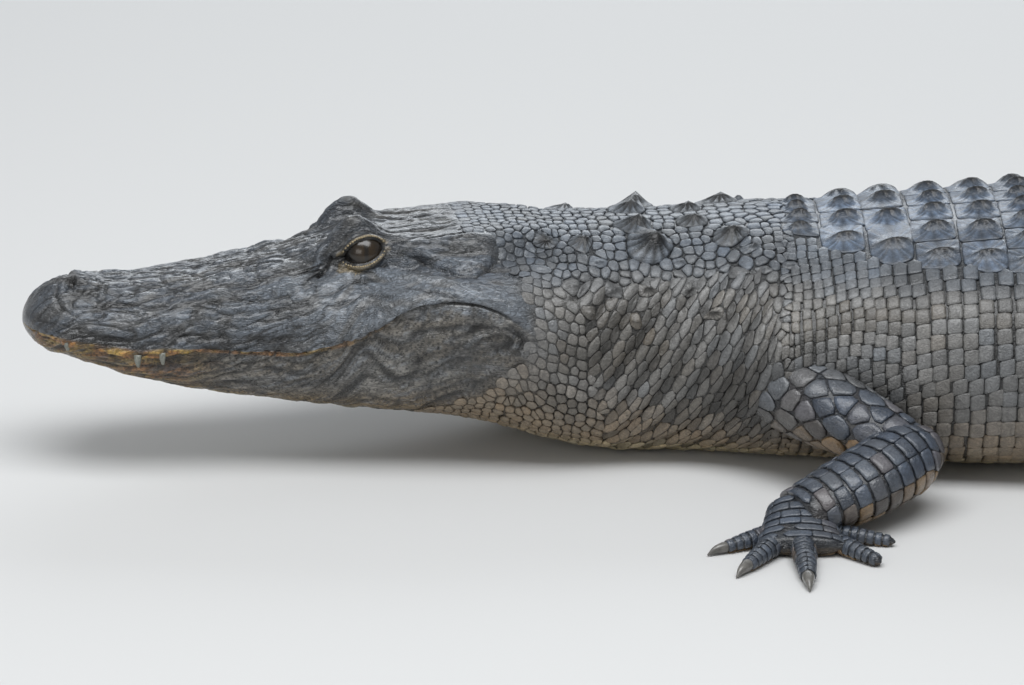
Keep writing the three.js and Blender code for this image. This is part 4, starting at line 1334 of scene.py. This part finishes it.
def plainMaterial(name, roughness, coat, noiseScale, key=None, colour=(0.5, 0.5, 0.5), mottle=0.3):
    material = bpy.data.materials.new(name)
    material.use_nodes = True
    tree = material.node_tree
    tree.nodes.clear()
    place_ = addNode(tree, "ShaderNodeTexCoord").outputs["Object"]
    grain = addNode(tree, "ShaderNodeTexNoise", {"Vector": place_, "Scale": noiseScale, "Detail": 4.0})
    if key:
        base = addNode(tree, "ShaderNodeAttribute", attribute_name=key).outputs["Color"]
    else:
        base = addNode(tree, "ShaderNodeRGB").outputs[0]
        base.default_value = (*colour, 1)
    gain = addNode(tree, "ShaderNodeMapRange",
                   {0: grain.outputs["Fac"], 1: 0.3, 2: 0.7, 3: 1 - mottle, 4: 1 + mottle})
    colour = addNode(tree, "ShaderNodeVectorMath", {0: base}, operation="SCALE")
    tree.links.new(gain.outputs[0], colour.inputs["Scale"])
    bump = addNode(tree, "ShaderNodeBump",
                   {"Strength": 0.3, "Distance": 0.0002, "Height": grain.outputs["Fac"]})
    shader = addNode(tree, "ShaderNodeBsdfPrincipled", {
        "Base Color": colour.outputs[0], "Roughness": roughness, "Coat Weight": coat, "Coat Roughness": 0.04,
        "Normal": bump.outputs[0]})
    addNode(tree, "ShaderNodeOutputMaterial", {"Surface": shader.outputs[0]})
    return material


# The skin: body and limbs joined into one closed surface.

hide = hideMaterial("smooth hide")
scaleHide = hideMaterial("scale hide")
glossyHide = hideMaterial("glossy hide")
skinPiece = makeBodySkin()
limbParts = {}
joins = []
clawStops = {}
for name, limb in limbs.items():
    tubes, webs, claws = limbTubes(limb)
    limbParts[name] = tubes
    clawStops[name] = claws
    for k, (kind, tube) in enumerate(tubes):
        points, faces = closeTube(tube)
        normals = vertexNormals(points, faces)
        # painted shade: the skin under the limb's plates is darkened where it shows between them
        tone = shadeLimb(points, normals) * 0.45
        joins.append(makeMesh(f"{name} {kind} {k}", points, faces, {"tone": tone}))
    for k, sheet in enumerate(webs):
        points, faces = closeSheet(sheet)
        joins.append(makeMesh(f"{name} web {k}", points, faces, {"tone": shadeLimb(points, points * 0 + 1)}))
boolean(skinPiece, joins)
healTone(skinPiece.data)
skinPiece.data.materials.clear()
skinPiece.data.materials.append(hide)
print("skin joined:", len(skinPiece.data.vertices), "points")


# Where the scales of the body lie.

flankScale = track([[600, 8.5], [650, 9.5], [720, 12.5], [900, 13.5], [1400, 14.5]])
neckScale = track([[280, 7.0], [380, 7.6], [460, 8.6], [560, 10], [640, 12.2], [900, 13.5], [1400, 14.5]])
crest = {
    "start": 1402.0, "meet": 1960.0,
    "pitch": track([[1402, 35], [2750, 21]]),
    "height": track([[1402, 5], [1600, 12], [1850, 22], [2000, 27], [2300, 24], [2600, 15], [2740, 7]]),
    "side": track([[1402, 46], [1600, 32], [1850, 15], [1960, 4]]),
}
whorls = [crest["start"] + float(crest["pitch"](crest["start"])) / 2]
while whorls[-1] < body["length"] - 35:
    whorls.append(whorls[-1] + float(crest["pitch"](whorls[-1])))
# Great scutes of the neck: station, distance round from the mid-line, reach and height. Knobs and round
# plates stand among the small scales: station, distance, length, width and how dark their keels are.

nuchal = [(490, 54, 24, 13), (482, 20, 18, 8), (556, 46, 18, 7), (528, 18, 14, 5), (435, 47, 13, 4),
          (405, 44, 11, 3)]
neckKnobs = [(483, 98, 15, 12, 0.85), (517, 100, 16, 12, 0.9), (536, 122, 17, 12, 0.85),
             (454, 98, 15, 13, 0.5), (398, 79, 17, 13, 0.0), (419, 96, 15, 12, 0.0),
             (444, 72, 15, 12, 0.2), (432, 118, 12, 11, 0.0), (555, 91, 18, 13, 0.1),
             (583, 93, 17, 12, 0.1), (603, 91, 15, 12, 0.1), (574, 66, 16, 14, 0.6),
             (512, 74, 14, 12, 0.3), (470, 122, 13, 11, 0.1)]


def bodyGirth(s):
    return 2 * (upperAt(s) + lowerAt(s))


plain = {"cone": 0.0, "streak": 0.0, "lean": 0.0, "dark": 0.0, "groove": 0.0, "column": 0.0, "soft": 0.0,
         "band": 0.0, "slant": 0.0}


def layBodySites():
    girth = lambda s: float(bodyGirth(s))
    every = lambda s: 0.0
    far = lambda s: 1e4
    bellyFrom = lambda s: float(upperAt(s) + lowerAt(s) * np.interp(s, [560, 640], [1.3, 0.5]))
    dorsal = lambda s: float(dorsalHalf(s))
    parts = []

    def add(zone, u, v, along, across, height, keel=0.0, **more):
        values = {"u": u, "v": v, "along": along, "across": across, "size": (np.asarray(along) + across) / 4,
                  "height": height, "keel": keel, **plain, **more}
        parts.append({key: np.broadcast_to(np.asarray(x, float), u.shape) for key, x in values.items()})
        parts[-1]["zone"] = np.full(u.shape, zone)

    u, v = layRows(276, 600, neckScale, lambda s: neckScale(s) * 1.12, girth, every, far,
                   stagger=True, jitter=0.36)
    folded = foldAt(u, v) > 0.5
    u, v = u[~folded], v[~folded]
    past = ease(0, 60, u - neckEdge(bodySection(u, v)[1]))
    add("neck", u, v, neckScale(u), neckScale(u) * 1.12, 0.7 + 1.2 * past, 0.3 * past, soft=1 - past)
    u, v = layFolds()
    slant = math.radians(folds["slant"]) * np.sign(v)
    add("neck", u, v, folds["pitch"] / 3, 14.5, 1.3, 0.2, column=0.75, slant=slant, groove=0.03)
    u, v = layRows(600, 1402, flankScale, lambda s: flankScale(s) * 0.95, girth, dorsal, bellyFrom,
                   stagger=False, jitter=0.08)
    pitch = flankScale(u)
    u = u + 6.5 * noise(u / 50, v / 38, 36) + 0.8 * noise(u / 9, v / 9, 37)
    add("flank", u, v, pitch, pitch * 0.95, 2.2, 0.35, groove=0.03, column=0.9, band=1.0)
    u, v = layRows(572, 1402, lambda s: 22.0, lambda s: 31.0, girth, bellyFrom, far,
                   stagger=False, jitter=0.03)
    add("belly", u, v, 22.0, 31.0, 1.5)
    rows = np.arange(613, 1402, 35.5)
    columns = np.interp(rows, [648, 690, 724, 760, 1230, 1290, 1350], [4, 6, 6, 8, 8, 6, 4]) // 2 * 2
    u = np.concatenate([np.full(int(c), s) for s, c in zip(rows, columns)])
    wide = np.concatenate([np.full(int(c), 2 * dorsal(s) / c) for s, c in zip(rows, columns)])
    v = np.concatenate([(np.arange(c) + 0.5 - c / 2) * 2 * dorsal(s) / c for s, c in zip(rows, columns)])
    u, v = u + random.normal(0, 1.0, len(u)), v + random.normal(0, 0.6, len(v))
    edge = ease(0.5, 1, np.abs(v) / np.maximum(dorsalHalf(u), 1))
    add("back", u, v, 35.5, wide, 1.3, 7.5 - 2.0 * edge, streak=1.1, dark=1.0, lean=0.05, band=1.0)
    for s in whorls:
        count = max(6, int(round(girth(s) / float(np.interp(s, [1402, 2000, 2750], [21, 16, 9])))) // 2 * 2)
        v = ((np.arange(count) + 0.5) / count - 0.5) * girth(s)
        side = bell(np.abs(v) / girth(s) - 0.14, 0.1)
        pitch = float(crest["pitch"](s))
        add("tail", np.full(count, s), v, pitch, girth(s) / count, 2.3, 0.4 + 1.8 * side,
            streak=0.2, band=1.0)
    for sign in (-1, 1):
        one = lambda x: np.array([float(x)])
        for s, side, size, height in nuchal:
            add("nuchal", one(s), one(side * sign), size * 2, size * 1.8, 1.5, 1,
                cone=height, streak=1.5, lean=0.25, dark=1.0)
        for s, side, along, across, dark in neckKnobs:
            add("nuchal", one(s), one(side * sign), along, across, 1.8, 1.5 + 4.5 * dark,
                streak=0.9 * dark, dark=dark)
    sites = {key: np.concatenate([part[key] for part in parts]) for key in parts[0]}
    big = sites["zone"] == "nuchal"
    keep = np.abs(sites["v"]) <= bodyGirth(sites["u"]) / 2 + 0.1
    for k in np.nonzero(big)[0]:
        away = np.hypot(sites["u"] - sites["u"][k], sites["v"] - sites["v"][k])
        keep &= big | (away > sites["size"][k] * 0.95)
    height = bodySection(sites["u"], sites["v"])[1]
    keep &= sites["u"] > neckEdge(height) + 1
    sites = chosenOf(sites, keep)
    sites["guide"] = np.zeros(len(sites["u"]), int)
    # painted shade in the creases of the neck folds
    creaseShade = foldAt(sites["u"], sites["v"]) * (1 - foldHeight(sites["u"], sites["v"]))
    sites["tone"] = trunkTone(sites["u"], sites["v"], height[keep]) * (1 - 0.7 * creaseShade[:, None])
    sites["mapU"] = 0.02 + sites["u"] / scale["atlas"]
    sites["mapV"] = 0.5 + sites["v"] / scale["atlas"]
    return sites


def layFolds():
    # where the neck folds, the scales stand in slanting lines
    lines, steps = np.meshgrid(np.arange(-60, 60), np.arange(-40, 40), indexing="ij")
    a, b = lines.ravel() * folds["pitch"] / 3, (steps.ravel() + 0.5 * (lines.ravel() % 2)) * 14.5
    slant = math.radians(folds["slant"])
    us, vs = [], []
    for sign in (-1, 1):
        u = 510 + a * math.cos(slant) + b * math.sin(slant)
        v = 200 + a * math.sin(slant) - b * math.cos(slant)
        u = u + random.normal(0, 0.9, len(u))
        v = v + random.normal(0, 2.4, len(v))
        keep = (foldAt(u, v) > 0.5) & (v > 0)
        us.append(u[keep])
        vs.append(v[keep] * sign)
    return np.concatenate(us), np.concatenate(vs)


def chosenOf(sites, chosen):
    return {key: value[chosen] for key, value in sites.items()}


def shapeCells(sites, girth, corners):
    sites[f"reach{corners}"], sites[f"angle{corners}"] = cellReach(sites, girth, corners)


def varyTone(sites, amount=0.075):
    count = len(sites["u"])
    gain = np.exp(random.normal(0, amount, count))[:, None]
    warm = random.normal(0, 0.025, (count, 1)) * np.array([1.0, 0.1, -1.0])
    sites["tone"] = sites["tone"] * gain * (1 + warm)
    sites["tilt"] = np.abs(random.normal(0.2, 0.15, count))
    sites["height"] = sites["height"] * np.exp(random.normal(0, 0.12, count))


def treeOf(points, faces):
    return BVHTree.FromPolygons([tuple(p) for p in points], [tuple(q) for f in faces for q in f])


def awayFrom(tree, points):
    # distance to a closed surface, below 0 inside it
    out = np.zeros(len(points))
    for k, p in enumerate(points):
        near, normal, _, distance = tree.find_nearest(tuple(p))
        out[k] = distance if (Vector(tuple(p)) - near).dot(normal) > 0 else -distance
    return out


mainGuide = bodyGuide()
bodySites = layBodySites()
shapeCells(bodySites, bodyGirth, scale["corners"])
shapeCells(bodySites, bodyGirth, scale["keeledCorners"])
varyTone(bodySites)
limbTrees = {name: [treeOf(*closeTube(tube)) for kind, tube in tubes] for name, tubes in limbParts.items()}
roots, _ = onGuide(mainGuide, bodySites["u"], bodySites["v"], bodySites["u"] * 0)
nearest = np.min([awayFrom(tree, roots) for trees in limbTrees.values() for tree in trees[:1]], axis=0)
# painted shade in the folds round the root of each limb
bodySites["tone"] = bodySites["tone"] * (1 - 0.45 * ease(24, 4, nearest))[:, None]
bodySites = chosenOf(bodySites, nearest > -2)
print("scales of the body laid:", len(bodySites["u"]))


left = bodySites["v"] > 0
zones = {
    "scales_neck_left": ("neck", left, False),
    "scales_neck_right": ("neck", ~left, False),
    "scales_flank_left": ("flank", left, False),
    "scales_flank_right": ("flank", ~left, False),
    "scales_nuchal": ("nuchal", True, True),
    "scales_back": ("back", True, True),
    "scales_belly": ("belly", True, False),
    "scales_tail_left": ("tail", left, True),
    "scales_tail_right": ("tail", ~left, True),
}
for name, (kind, side, keeled) in zones.items():
    chosen = chosenOf(bodySites, (bodySites["zone"] == kind) & side)
    finishPiece(makeScales(name, [mainGuide], chosen, keeled), scaleHide)


# Scales of the limbs: large plates on the upper sides, bands across the toes.

plates = {
    "arm": {"upper": (26.0, 20.0, "lozenge", 1.8), "lower": (12.5, 17.0, "band", 2.1),
            "palm": (8.5, 12.0, "band", 1.3), "digit": (6.2, 13.0, "band", 1.1)},
    "leg": {"upper": (26.0, 20.0, "lozenge", 1.9), "lower": (13.5, 18.0, "band", 2.1),
            "palm": (10.0, 13.0, "band", 1.4), "digit": (7.6, 14.0, "band", 1.2)},
}
atlasRow = {"arm_left": 0.08, "arm_right": 0.2, "leg_left": 0.79, "leg_right": 0.92}
bodyTree = treeOf(*closeTube({"points": skinPoint(np.arange(300, 1500, 12.0)[:, None] + np.zeros((1, 80)),
                                                  (2 * (upperAt(np.arange(300, 1500, 12.0))
                                                        + lowerAt(np.arange(300, 1500, 12.0))))[:, None]
                                                  * (np.arange(80)[None, :] / 80 - 0.5))}))


def layLimbSites(name, kind):
    guides, parts = [], []
    offset = 0.03
    for k, (piece, tube) in enumerate(limbParts[name]):
        guide = tubeGuide(tube)
        guides.append(guide)
        along, across, pattern, height = plates[kind][piece]
        lozenge = pattern == "lozenge"
        girth = lambda u: float(np.interp(u, guide["along"], guide["girth"]))
        start, end = (2.0, guide["along"][-1] - (1.0 if piece != "digit" else 2.0))
        small = lambda s: np.interp(s, [50, 105], [0.5, 1]) if piece == "upper" else 1.0 + 0 * s
        u, v = layRows(start, end, lambda s: along * float(small(s)) * (0.5 if lozenge else 1),
                       lambda s: across * float(small(s)), girth, lambda s: 0.0, lambda s: 1e4,
                       stagger=lozenge, jitter=0.05)
        points, normals = onGuide(guide, u, v, u * 0)
        away = awayFrom(bodyTree, points)
        hiddenHere = away < -1.5
        for j, tree in enumerate(limbTrees[name]):
            if j != k and not (piece == "digit" and j > 2):
                hiddenHere |= awayFrom(tree, points) < -1.0
        keep = ~hiddenHere & (points[:, 2] > 0.2)
        u, v, points, normals, away = u[keep], v[keep], points[keep], normals[keep], away[keep]
        if not len(u):
            continue
        flat = {"u": u, "v": v, "along": along * small(u), "across": across * small(u),
                "size": (along + across) / 4, "height": height * small(u), "keel": 0.2, **plain,
                "groove": 0.04, "mapU": offset + u / scale["atlas"],
                "mapV": atlasRow[name] + v / scale["atlas"]}
        if not lozenge:
            flat.update({"band": 1.0, "groove": 0.12, "column": 0.5})
        flat = {key: np.broadcast_to(np.asarray(x, float), u.shape).copy() for key, x in flat.items()}
        if piece == "digit":
            # one broad band lies on top of each toe
            flat["size"] = np.where(np.abs(v) < 3, 7.0, 4.0)
        root = ease(36, 6, away) if piece == "upper" else 0 * u
        flat["tone"] = mix(shadeLimb(points, normals) * 1.45, palette["flank"] * 0.9, 0.75 * root)
        flat["guide"] = np.full(len(u), k)
        shapeCells(flat, lambda s: np.interp(s, guide["along"], guide["girth"]), scale["corners"])
        offset += guide["along"][-1] / scale["atlas"] + 0.02
        parts.append(flat)
    return guides, {key: np.concatenate([p[key] for p in parts]) for key in parts[0]}


for name, limb in limbs.items():
    guides, sites = layLimbSites(name, limb["kind"])
    varyTone(sites, 0.1)
    finishPiece(makeScales(f"scales_{name}", guides, sites), glossyHide)
    print("scales laid:", name, len(sites["u"]))


# Eyes.

def makeEye(side, sign):
    centre, back, up, gaze = eyeFrame(sign)
    rings, sides = 40, 56
    fall = np.linspace(0, np.pi, rings + 2)[1:-1, None]
    turn = np.linspace(0, 2 * np.pi, sides, endpoint=False)[None, :]
    a, b, c = np.sin(fall) * np.cos(turn), np.sin(fall) * np.sin(turn), np.cos(fall) + 0 * turn
    axes = np.stack([back, up, gaze])
    ball = np.stack([a, b, c], -1).reshape(-1, 3)
    ball = np.concatenate([ball, [[0, 0, 1], [0, 0, -1]]])
    points = centre + (ball * (eye["radius"] - 0.15)) @ axes
    across = np.hypot(ball[:, 0], ball[:, 1])
    turnOf = np.arctan2(ball[:, 1], ball[:, 0])
    streaks = noise(turnOf * 9, across * 2.5, 71) * 0.5 + 0.5
    iris = mix(rgb(46, 33, 14), rgb(18, 13, 7), ease(0.25, 0.75, across) * 0.7 + 0.3 * streaks)
    tone = mix(iris, rgb(12, 9, 7), ease(0.7, 0.8, across))
    slit = np.abs(ball[:, 0]) / (0.11 * np.sqrt(np.maximum(1 - (ball[:, 1] / 0.6) ** 2, 0.001)))
    tone = mix(tone, rgb(6, 5, 5), 0.7 * (1 - ease(0.8, 1.2, slit)) * (np.abs(ball[:, 1]) < 0.6))
    grid = gridFaces(rings, sides, closed=True)
    faces = [grid, fan(np.arange(sides), rings * sides), fan(np.arange(sides) + (rings - 1) * sides,
                                                             rings * sides + 1, turned=True)]
    points, faces = outward(points - centre, faces)
    ballPiece = makeMesh(f"eyeball_{side}", points + centre, faces, {"tone": tone})
    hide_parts(f"eye_{side}")
    finishPiece(ballPiece, eyeGloss)


eyeGloss = plainMaterial("wet eye", key="tone", roughness=0.2, coat=0.25, noiseScale=1500.0, mottle=0.2)
for side, sign in (("left", -1), ("right", 1)):
    makeEye(side, sign)


# Crest, teeth and beads: one node tree sets a shape out on points, which carry its turn and its size.

def setOutTree():
    tree = bpy.data.node_groups.new("set out on points", "GeometryNodeTree")
    sockets = (("Points", "Geometry", None), ("Shape", "Object", None), ("Size", "Float", 1.0),
               ("Variation", "Float", 0.0), ("Seed", "Int", 4), ("Material", "Material", None))
    for label, kind, value in sockets:
        socket = tree.interface.new_socket(label, in_out="INPUT", socket_type=f"NodeSocket{kind}")
        if value is not None:
            socket.default_value = value
    tree.interface.new_socket("Geometry", in_out="OUTPUT", socket_type="NodeSocketGeometry")
    start, end = tree.nodes.new("NodeGroupInput"), tree.nodes.new("NodeGroupOutput")
    i = start.outputs
    shape = addNode(tree, "GeometryNodeObjectInfo", {"Object": i["Shape"]})
    turn = addNode(tree, "GeometryNodeInputNamedAttribute", {"Name": "turn"}, data_type="FLOAT_VECTOR")
    stretch = addNode(tree, "GeometryNodeInputNamedAttribute", {"Name": "stretch"}, data_type="FLOAT_VECTOR")
    least = math2(tree, "SUBTRACT", 1.0, i["Variation"])
    most = math2(tree, "ADD", 1.0, i["Variation"])
    chance = addNode(tree, "FunctionNodeRandomValue", {2: least, 3: most, "Seed": i["Seed"]},
                     data_type="FLOAT")
    size = math2(tree, "MULTIPLY", chance.outputs[1], i["Size"])
    scaled = addNode(tree, "ShaderNodeVectorMath", {0: stretch.outputs[0]}, operation="SCALE")
    tree.links.new(size, scaled.inputs["Scale"])
    instances = addNode(tree, "GeometryNodeInstanceOnPoints", {
        "Points": i["Points"], "Instance": shape.outputs["Geometry"], "Rotation": turn.outputs[0],
        "Scale": scaled.outputs[0]})
    real = addNode(tree, "GeometryNodeRealizeInstances", {"Geometry": instances.outputs[0]})
    coloured = addNode(tree, "GeometryNodeSetMaterial",
                       {"Geometry": real.outputs[0], "Material": i["Material"]})
    tree.links.new(coloured.outputs[0], end.inputs[0])
    return tree


setOut = setOutTree()


def ringShape(name, rings, tip):
    # a small closed shape about its own origin, from rings of points that rise from the first to the last
    rings = np.array(rings, float)
    count, sides = rings.shape[:2]
    flat = np.concatenate([rings.reshape(-1, 3), [rings[0].mean(0), tip]])
    ring = np.arange(sides)
    faces = [gridFaces(count, sides, closed=True), fan(ring, len(flat) - 2),
             fan(ring + (count - 1) * sides, len(flat) - 1, turned=True)]
    points, faces = outward(flat, faces)
    return makeMesh(name, points - origin / mm, faces)


def layOut(name, shape, spots, axes, sizes, tone, material, variation=0.0):
    # axes are the shape's own x, y and z for each spot
    mesh = bpy.data.meshes.new(name)
    mesh.from_pydata((np.array(spots) * mm + origin).tolist(), [], [])
    turns = [Matrix(np.array(a).T.tolist()).to_euler() for a in axes]
    for key, rows in (("turn", turns), ("stretch", sizes)):
        data = mesh.attributes.new(key, "FLOAT_VECTOR", "POINT").data
        data.foreach_set("vector", np.array([list(row) for row in rows], np.float32).ravel())
    setColour(mesh, "tone", np.array(tone))
    piece = bpy.data.objects.new(name, mesh)
    bpy.context.scene.collection.objects.link(piece)
    modifier = piece.modifiers.new("set out", "NODES")
    modifier.node_group = setOut
    sockets = {item.name: item.identifier for item in setOut.interface.items_tree}
    for key, value in (("Shape", shape), ("Size", 1.0), ("Variation", variation), ("Seed", 4),
                       ("Material", material)):
        modifier[sockets[key]] = value
    bakeModifiers(piece)
    removePiece(shape)
    return piece


def ellipse(sides, x, z, halfLength, halfWidth):
    turn = np.arange(sides) * 2 * np.pi / sides
    return np.stack([x + halfLength * np.cos(turn), halfWidth * np.sin(turn), z + 0 * turn], -1)


def mapPatches(piece, mapped):
    # each copy is a small patch at its place on the map of the skin
    each = len(piece.data.vertices) // len(mapped)
    turn = 2 * np.pi * np.arange(each) / each
    patch = np.stack([np.cos(turn), np.sin(turn)], -1) * scale["patch"] / 2
    mapCorners(piece, (np.array(mapped)[:, None] + patch).reshape(-1, 2))


def makeCrest():
    fin = {"levels": 6, "sides": 10, "apex": 0.42, "lean": 1.35, "foot": 7.0, "thickness": 3.2,
           "length": 0.92, "splay": 0.35}
    rings = []
    for w in np.linspace(0, 0.94, fin["levels"]):
        front = -0.5 + (fin["apex"] + 0.5) * w ** fin["lean"]
        rear = 0.5 - (0.5 - fin["apex"]) * w
        rings.append(ellipse(fin["sides"], (front + rear) / 2, w, (rear - front) / 2, 1 - 0.82 * w ** 0.8))
    shape = ringShape("fin", rings, (fin["apex"], 0, 1))
    spots, axes, sizes, tones, mapped = [], [], [], [], []
    for s in whorls:
        pitch, high = float(crest["pitch"](s)), float(crest["height"](s))
        apart = float(crest["side"](s)) if s < crest["meet"] else 0.0
        for side in ((-apart, apart) if apart else (0.0,)):
            g = np.linspace(0, upperAt(s), 60) * (np.sign(side) or 1)
            across, height = skinSection(s, g)
            k = np.abs(across - side).argmin()
            onward, beside = spineAxes(s)
            slope = float(body["back"](s + 5) - body["back"](s - 5)) / 10
            along = unit(onward + np.array([0, 0, slope]))
            up = unit(np.cross(along, beside) + beside * (fin["splay"] * np.sign(side)))
            axes.append([along, np.cross(up, along), up])
            spots.append(place(s, side, height[k]) - up * fin["foot"])
            sizes.append([pitch * fin["length"], fin["thickness"], high + fin["foot"] + 3])
            tones.append(trunkTone(s, g[k], height[k]) * 0.8)
            mapped.append((0.02 + s / scale["atlas"], 0.5 + g[k] / scale["atlas"]))
    piece = layOut("tail_crest", shape, spots, axes, sizes, tones, glossyHide)
    mapPatches(piece, mapped)
    finishPiece(piece)


def makeTeeth():
    tooth = {"radius": 3.3, "sunk": 3.0, "in": 1.0, "splay": 0.12}
    half = lambda w: 1 - 0.75 * w ** 1.6
    rings = [ellipse(8, 0.12 * w * w, w, half(w), half(w)) for w in (0, 0.35, 0.7, 0.92)]
    shape = ringShape("tooth", rings, (0.14, 0, 1))
    spots, axes, sizes = [], [], []
    for s, length in shownTeeth:
        for sign in (-1, 1):
            apart = float(body["halfWidth"](s) * rounding(s, body["snoutRound"]["side"])) - tooth["in"]
            along, right = spineAxes(s)
            down = unit(np.array([0, 0, -1.0]) + tooth["splay"] * right * sign)
            axes.append([along, np.cross(down, along), down])
            spots.append(place(s, sign * apart, float(body["lip"](s)) + tooth["sunk"]))
            sizes.append([tooth["radius"], tooth["radius"], length + tooth["sunk"]])
    ivory = plainMaterial("tooth", colour=rgb(118, 120, 112), roughness=0.35, coat=0.4, noiseScale=400.0)
    piece = layOut("teeth", shape, spots, axes, sizes, np.ones((len(spots), 3)), ivory, variation=0.06)
    finishPiece(piece)


def makeLidBeads():
    # a row of small scales along the edge of each lid
    rings = [ellipse(7, 0, z, r, r) for z, r in ((-0.6, 0.8), (0.1, 1.0), (0.7, 0.7))]
    shape = ringShape("bead", rings, (0, 0, 1))
    spots, axes, sizes, tones, mapped = [], [], [], [], []
    for sign in (-1, 1):
        centre, back, up, gaze = eyeFrame(sign)
        for upper, lift, size in ((True, 1.0, 0.85), (False, -1.0, 0.8)):
            for t in (np.arange(lidShape["beads"]) + 0.7) / (lidShape["beads"] + 0.4):
                a = lidShape["front"] + t * (lidShape["rear"] - lidShape["front"])
                b = float(lidLine(t, upper)) + lift
                r = eye["radius"] + eye["lidDepth"] + 0.45
                c = math.sqrt(max(r * r - a * a - b * b, 4.0))
                n = unit(back * a + up * b + gaze * c)
                along = unit(np.cross(up, n))
                spots.append(centre + n * r)
                axes.append([along, np.cross(n, along), n])
                sizes.append([size * 1.2, size, 0.6])
                tones.append(palette["lidCream"] * (0.75 if upper else 1.0))
                mapped.append((0.02 + (eye["station"] + a) / scale["atlas"],
                               0.5 - sign * (40 - b) / scale["atlas"]))
    piece = layOut("lid_beads", shape, spots, axes, sizes, tones, scaleHide, variation=0.2)
    mapPatches(piece, mapped)
    finishPiece(piece)


makeCrest()
makeTeeth()
makeLidBeads()
print("crest, teeth and lids done")


# Claws.

horn = plainMaterial("claw", colour=rgb(100, 98, 94), roughness=0.3, coat=0.3, noiseScale=260.0, mottle=0.35)
for name, limb in limbs.items():
    where = feet[limb["kind"]]["names"][2]
    for k, stops in enumerate(clawStops[name]):
        node = f"claw_{where}_{name.split('_')[1]}_{k + 1}"
        piece = makeMesh(f"{node}_fine", *closeTube(makeTube(stops, 18, 16)))
        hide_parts(node)
        finishPiece(piece, horn)


# Lights and floor.

studio = {"floor": (0.6, 0.6, 0.595), "world": 0.36, "top": 92.0, "front": 24.0, "back": 72.0}


def addLight(name, place_, target, size, power, colour):
    data = bpy.data.lights.new(name, "AREA")
    data.shape = "RECTANGLE"
    data.size, data.size_y = size
    data.energy = power
    data.color = colour
    light = bpy.data.objects.new(name, data)
    light.location = place_
    light.rotation_euler = (Vector(target) - Vector(place_)).to_track_quat("-Z", "Y").to_euler()
    bpy.context.scene.collection.objects.link(light)


def makeStudio():
    points = np.array([[-9000.0, -9000, 0], [12000, -9000, 0], [12000, 9000, 0], [-9000, 9000, 0]])
    floor = makeMesh("floor", points, [np.array([[0, 1, 2, 3]])], smooth=False)
    material = bpy.data.materials.new("floor")
    material.use_nodes = True
    shader = material.node_tree.nodes["Principled BSDF"]
    shader.inputs["Base Color"].default_value = (*studio["floor"], 1)
    shader.inputs["Roughness"].default_value = 0.9
    floor.data.materials.append(material)
    addLight("top", (-0.9, -0.9, 2.9), (-0.7, 0.0, 0), (3.2, 1.6), studio["top"], (0.97, 0.985, 1.0))
    addLight("front", (-3.0, -3.6, 1.6), (-0.8, 0, 0.1), (2.4, 1.6), studio["front"], (1.0, 0.98, 0.95))
    addLight("back", (-0.2, 3.6, 2.0), (-0.6, 0, 0.1), (4.0, 1.4), studio["back"], (0.9, 0.95, 1.0))
    world = bpy.data.worlds.new("studio")
    world.use_nodes = True
    background = world.node_tree.nodes["Background"]
    background.inputs["Color"].default_value = (0.95, 0.975, 1.0, 1)
    background.inputs["Strength"].default_value = studio["world"]
    bpy.context.scene.world = world
    bpy.context.scene.view_settings.view_transform = "Standard"


makeStudio()
flesh = [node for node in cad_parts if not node.startswith(("eye_", "claw_"))]
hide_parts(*flesh)
finishPiece(skinPiece)
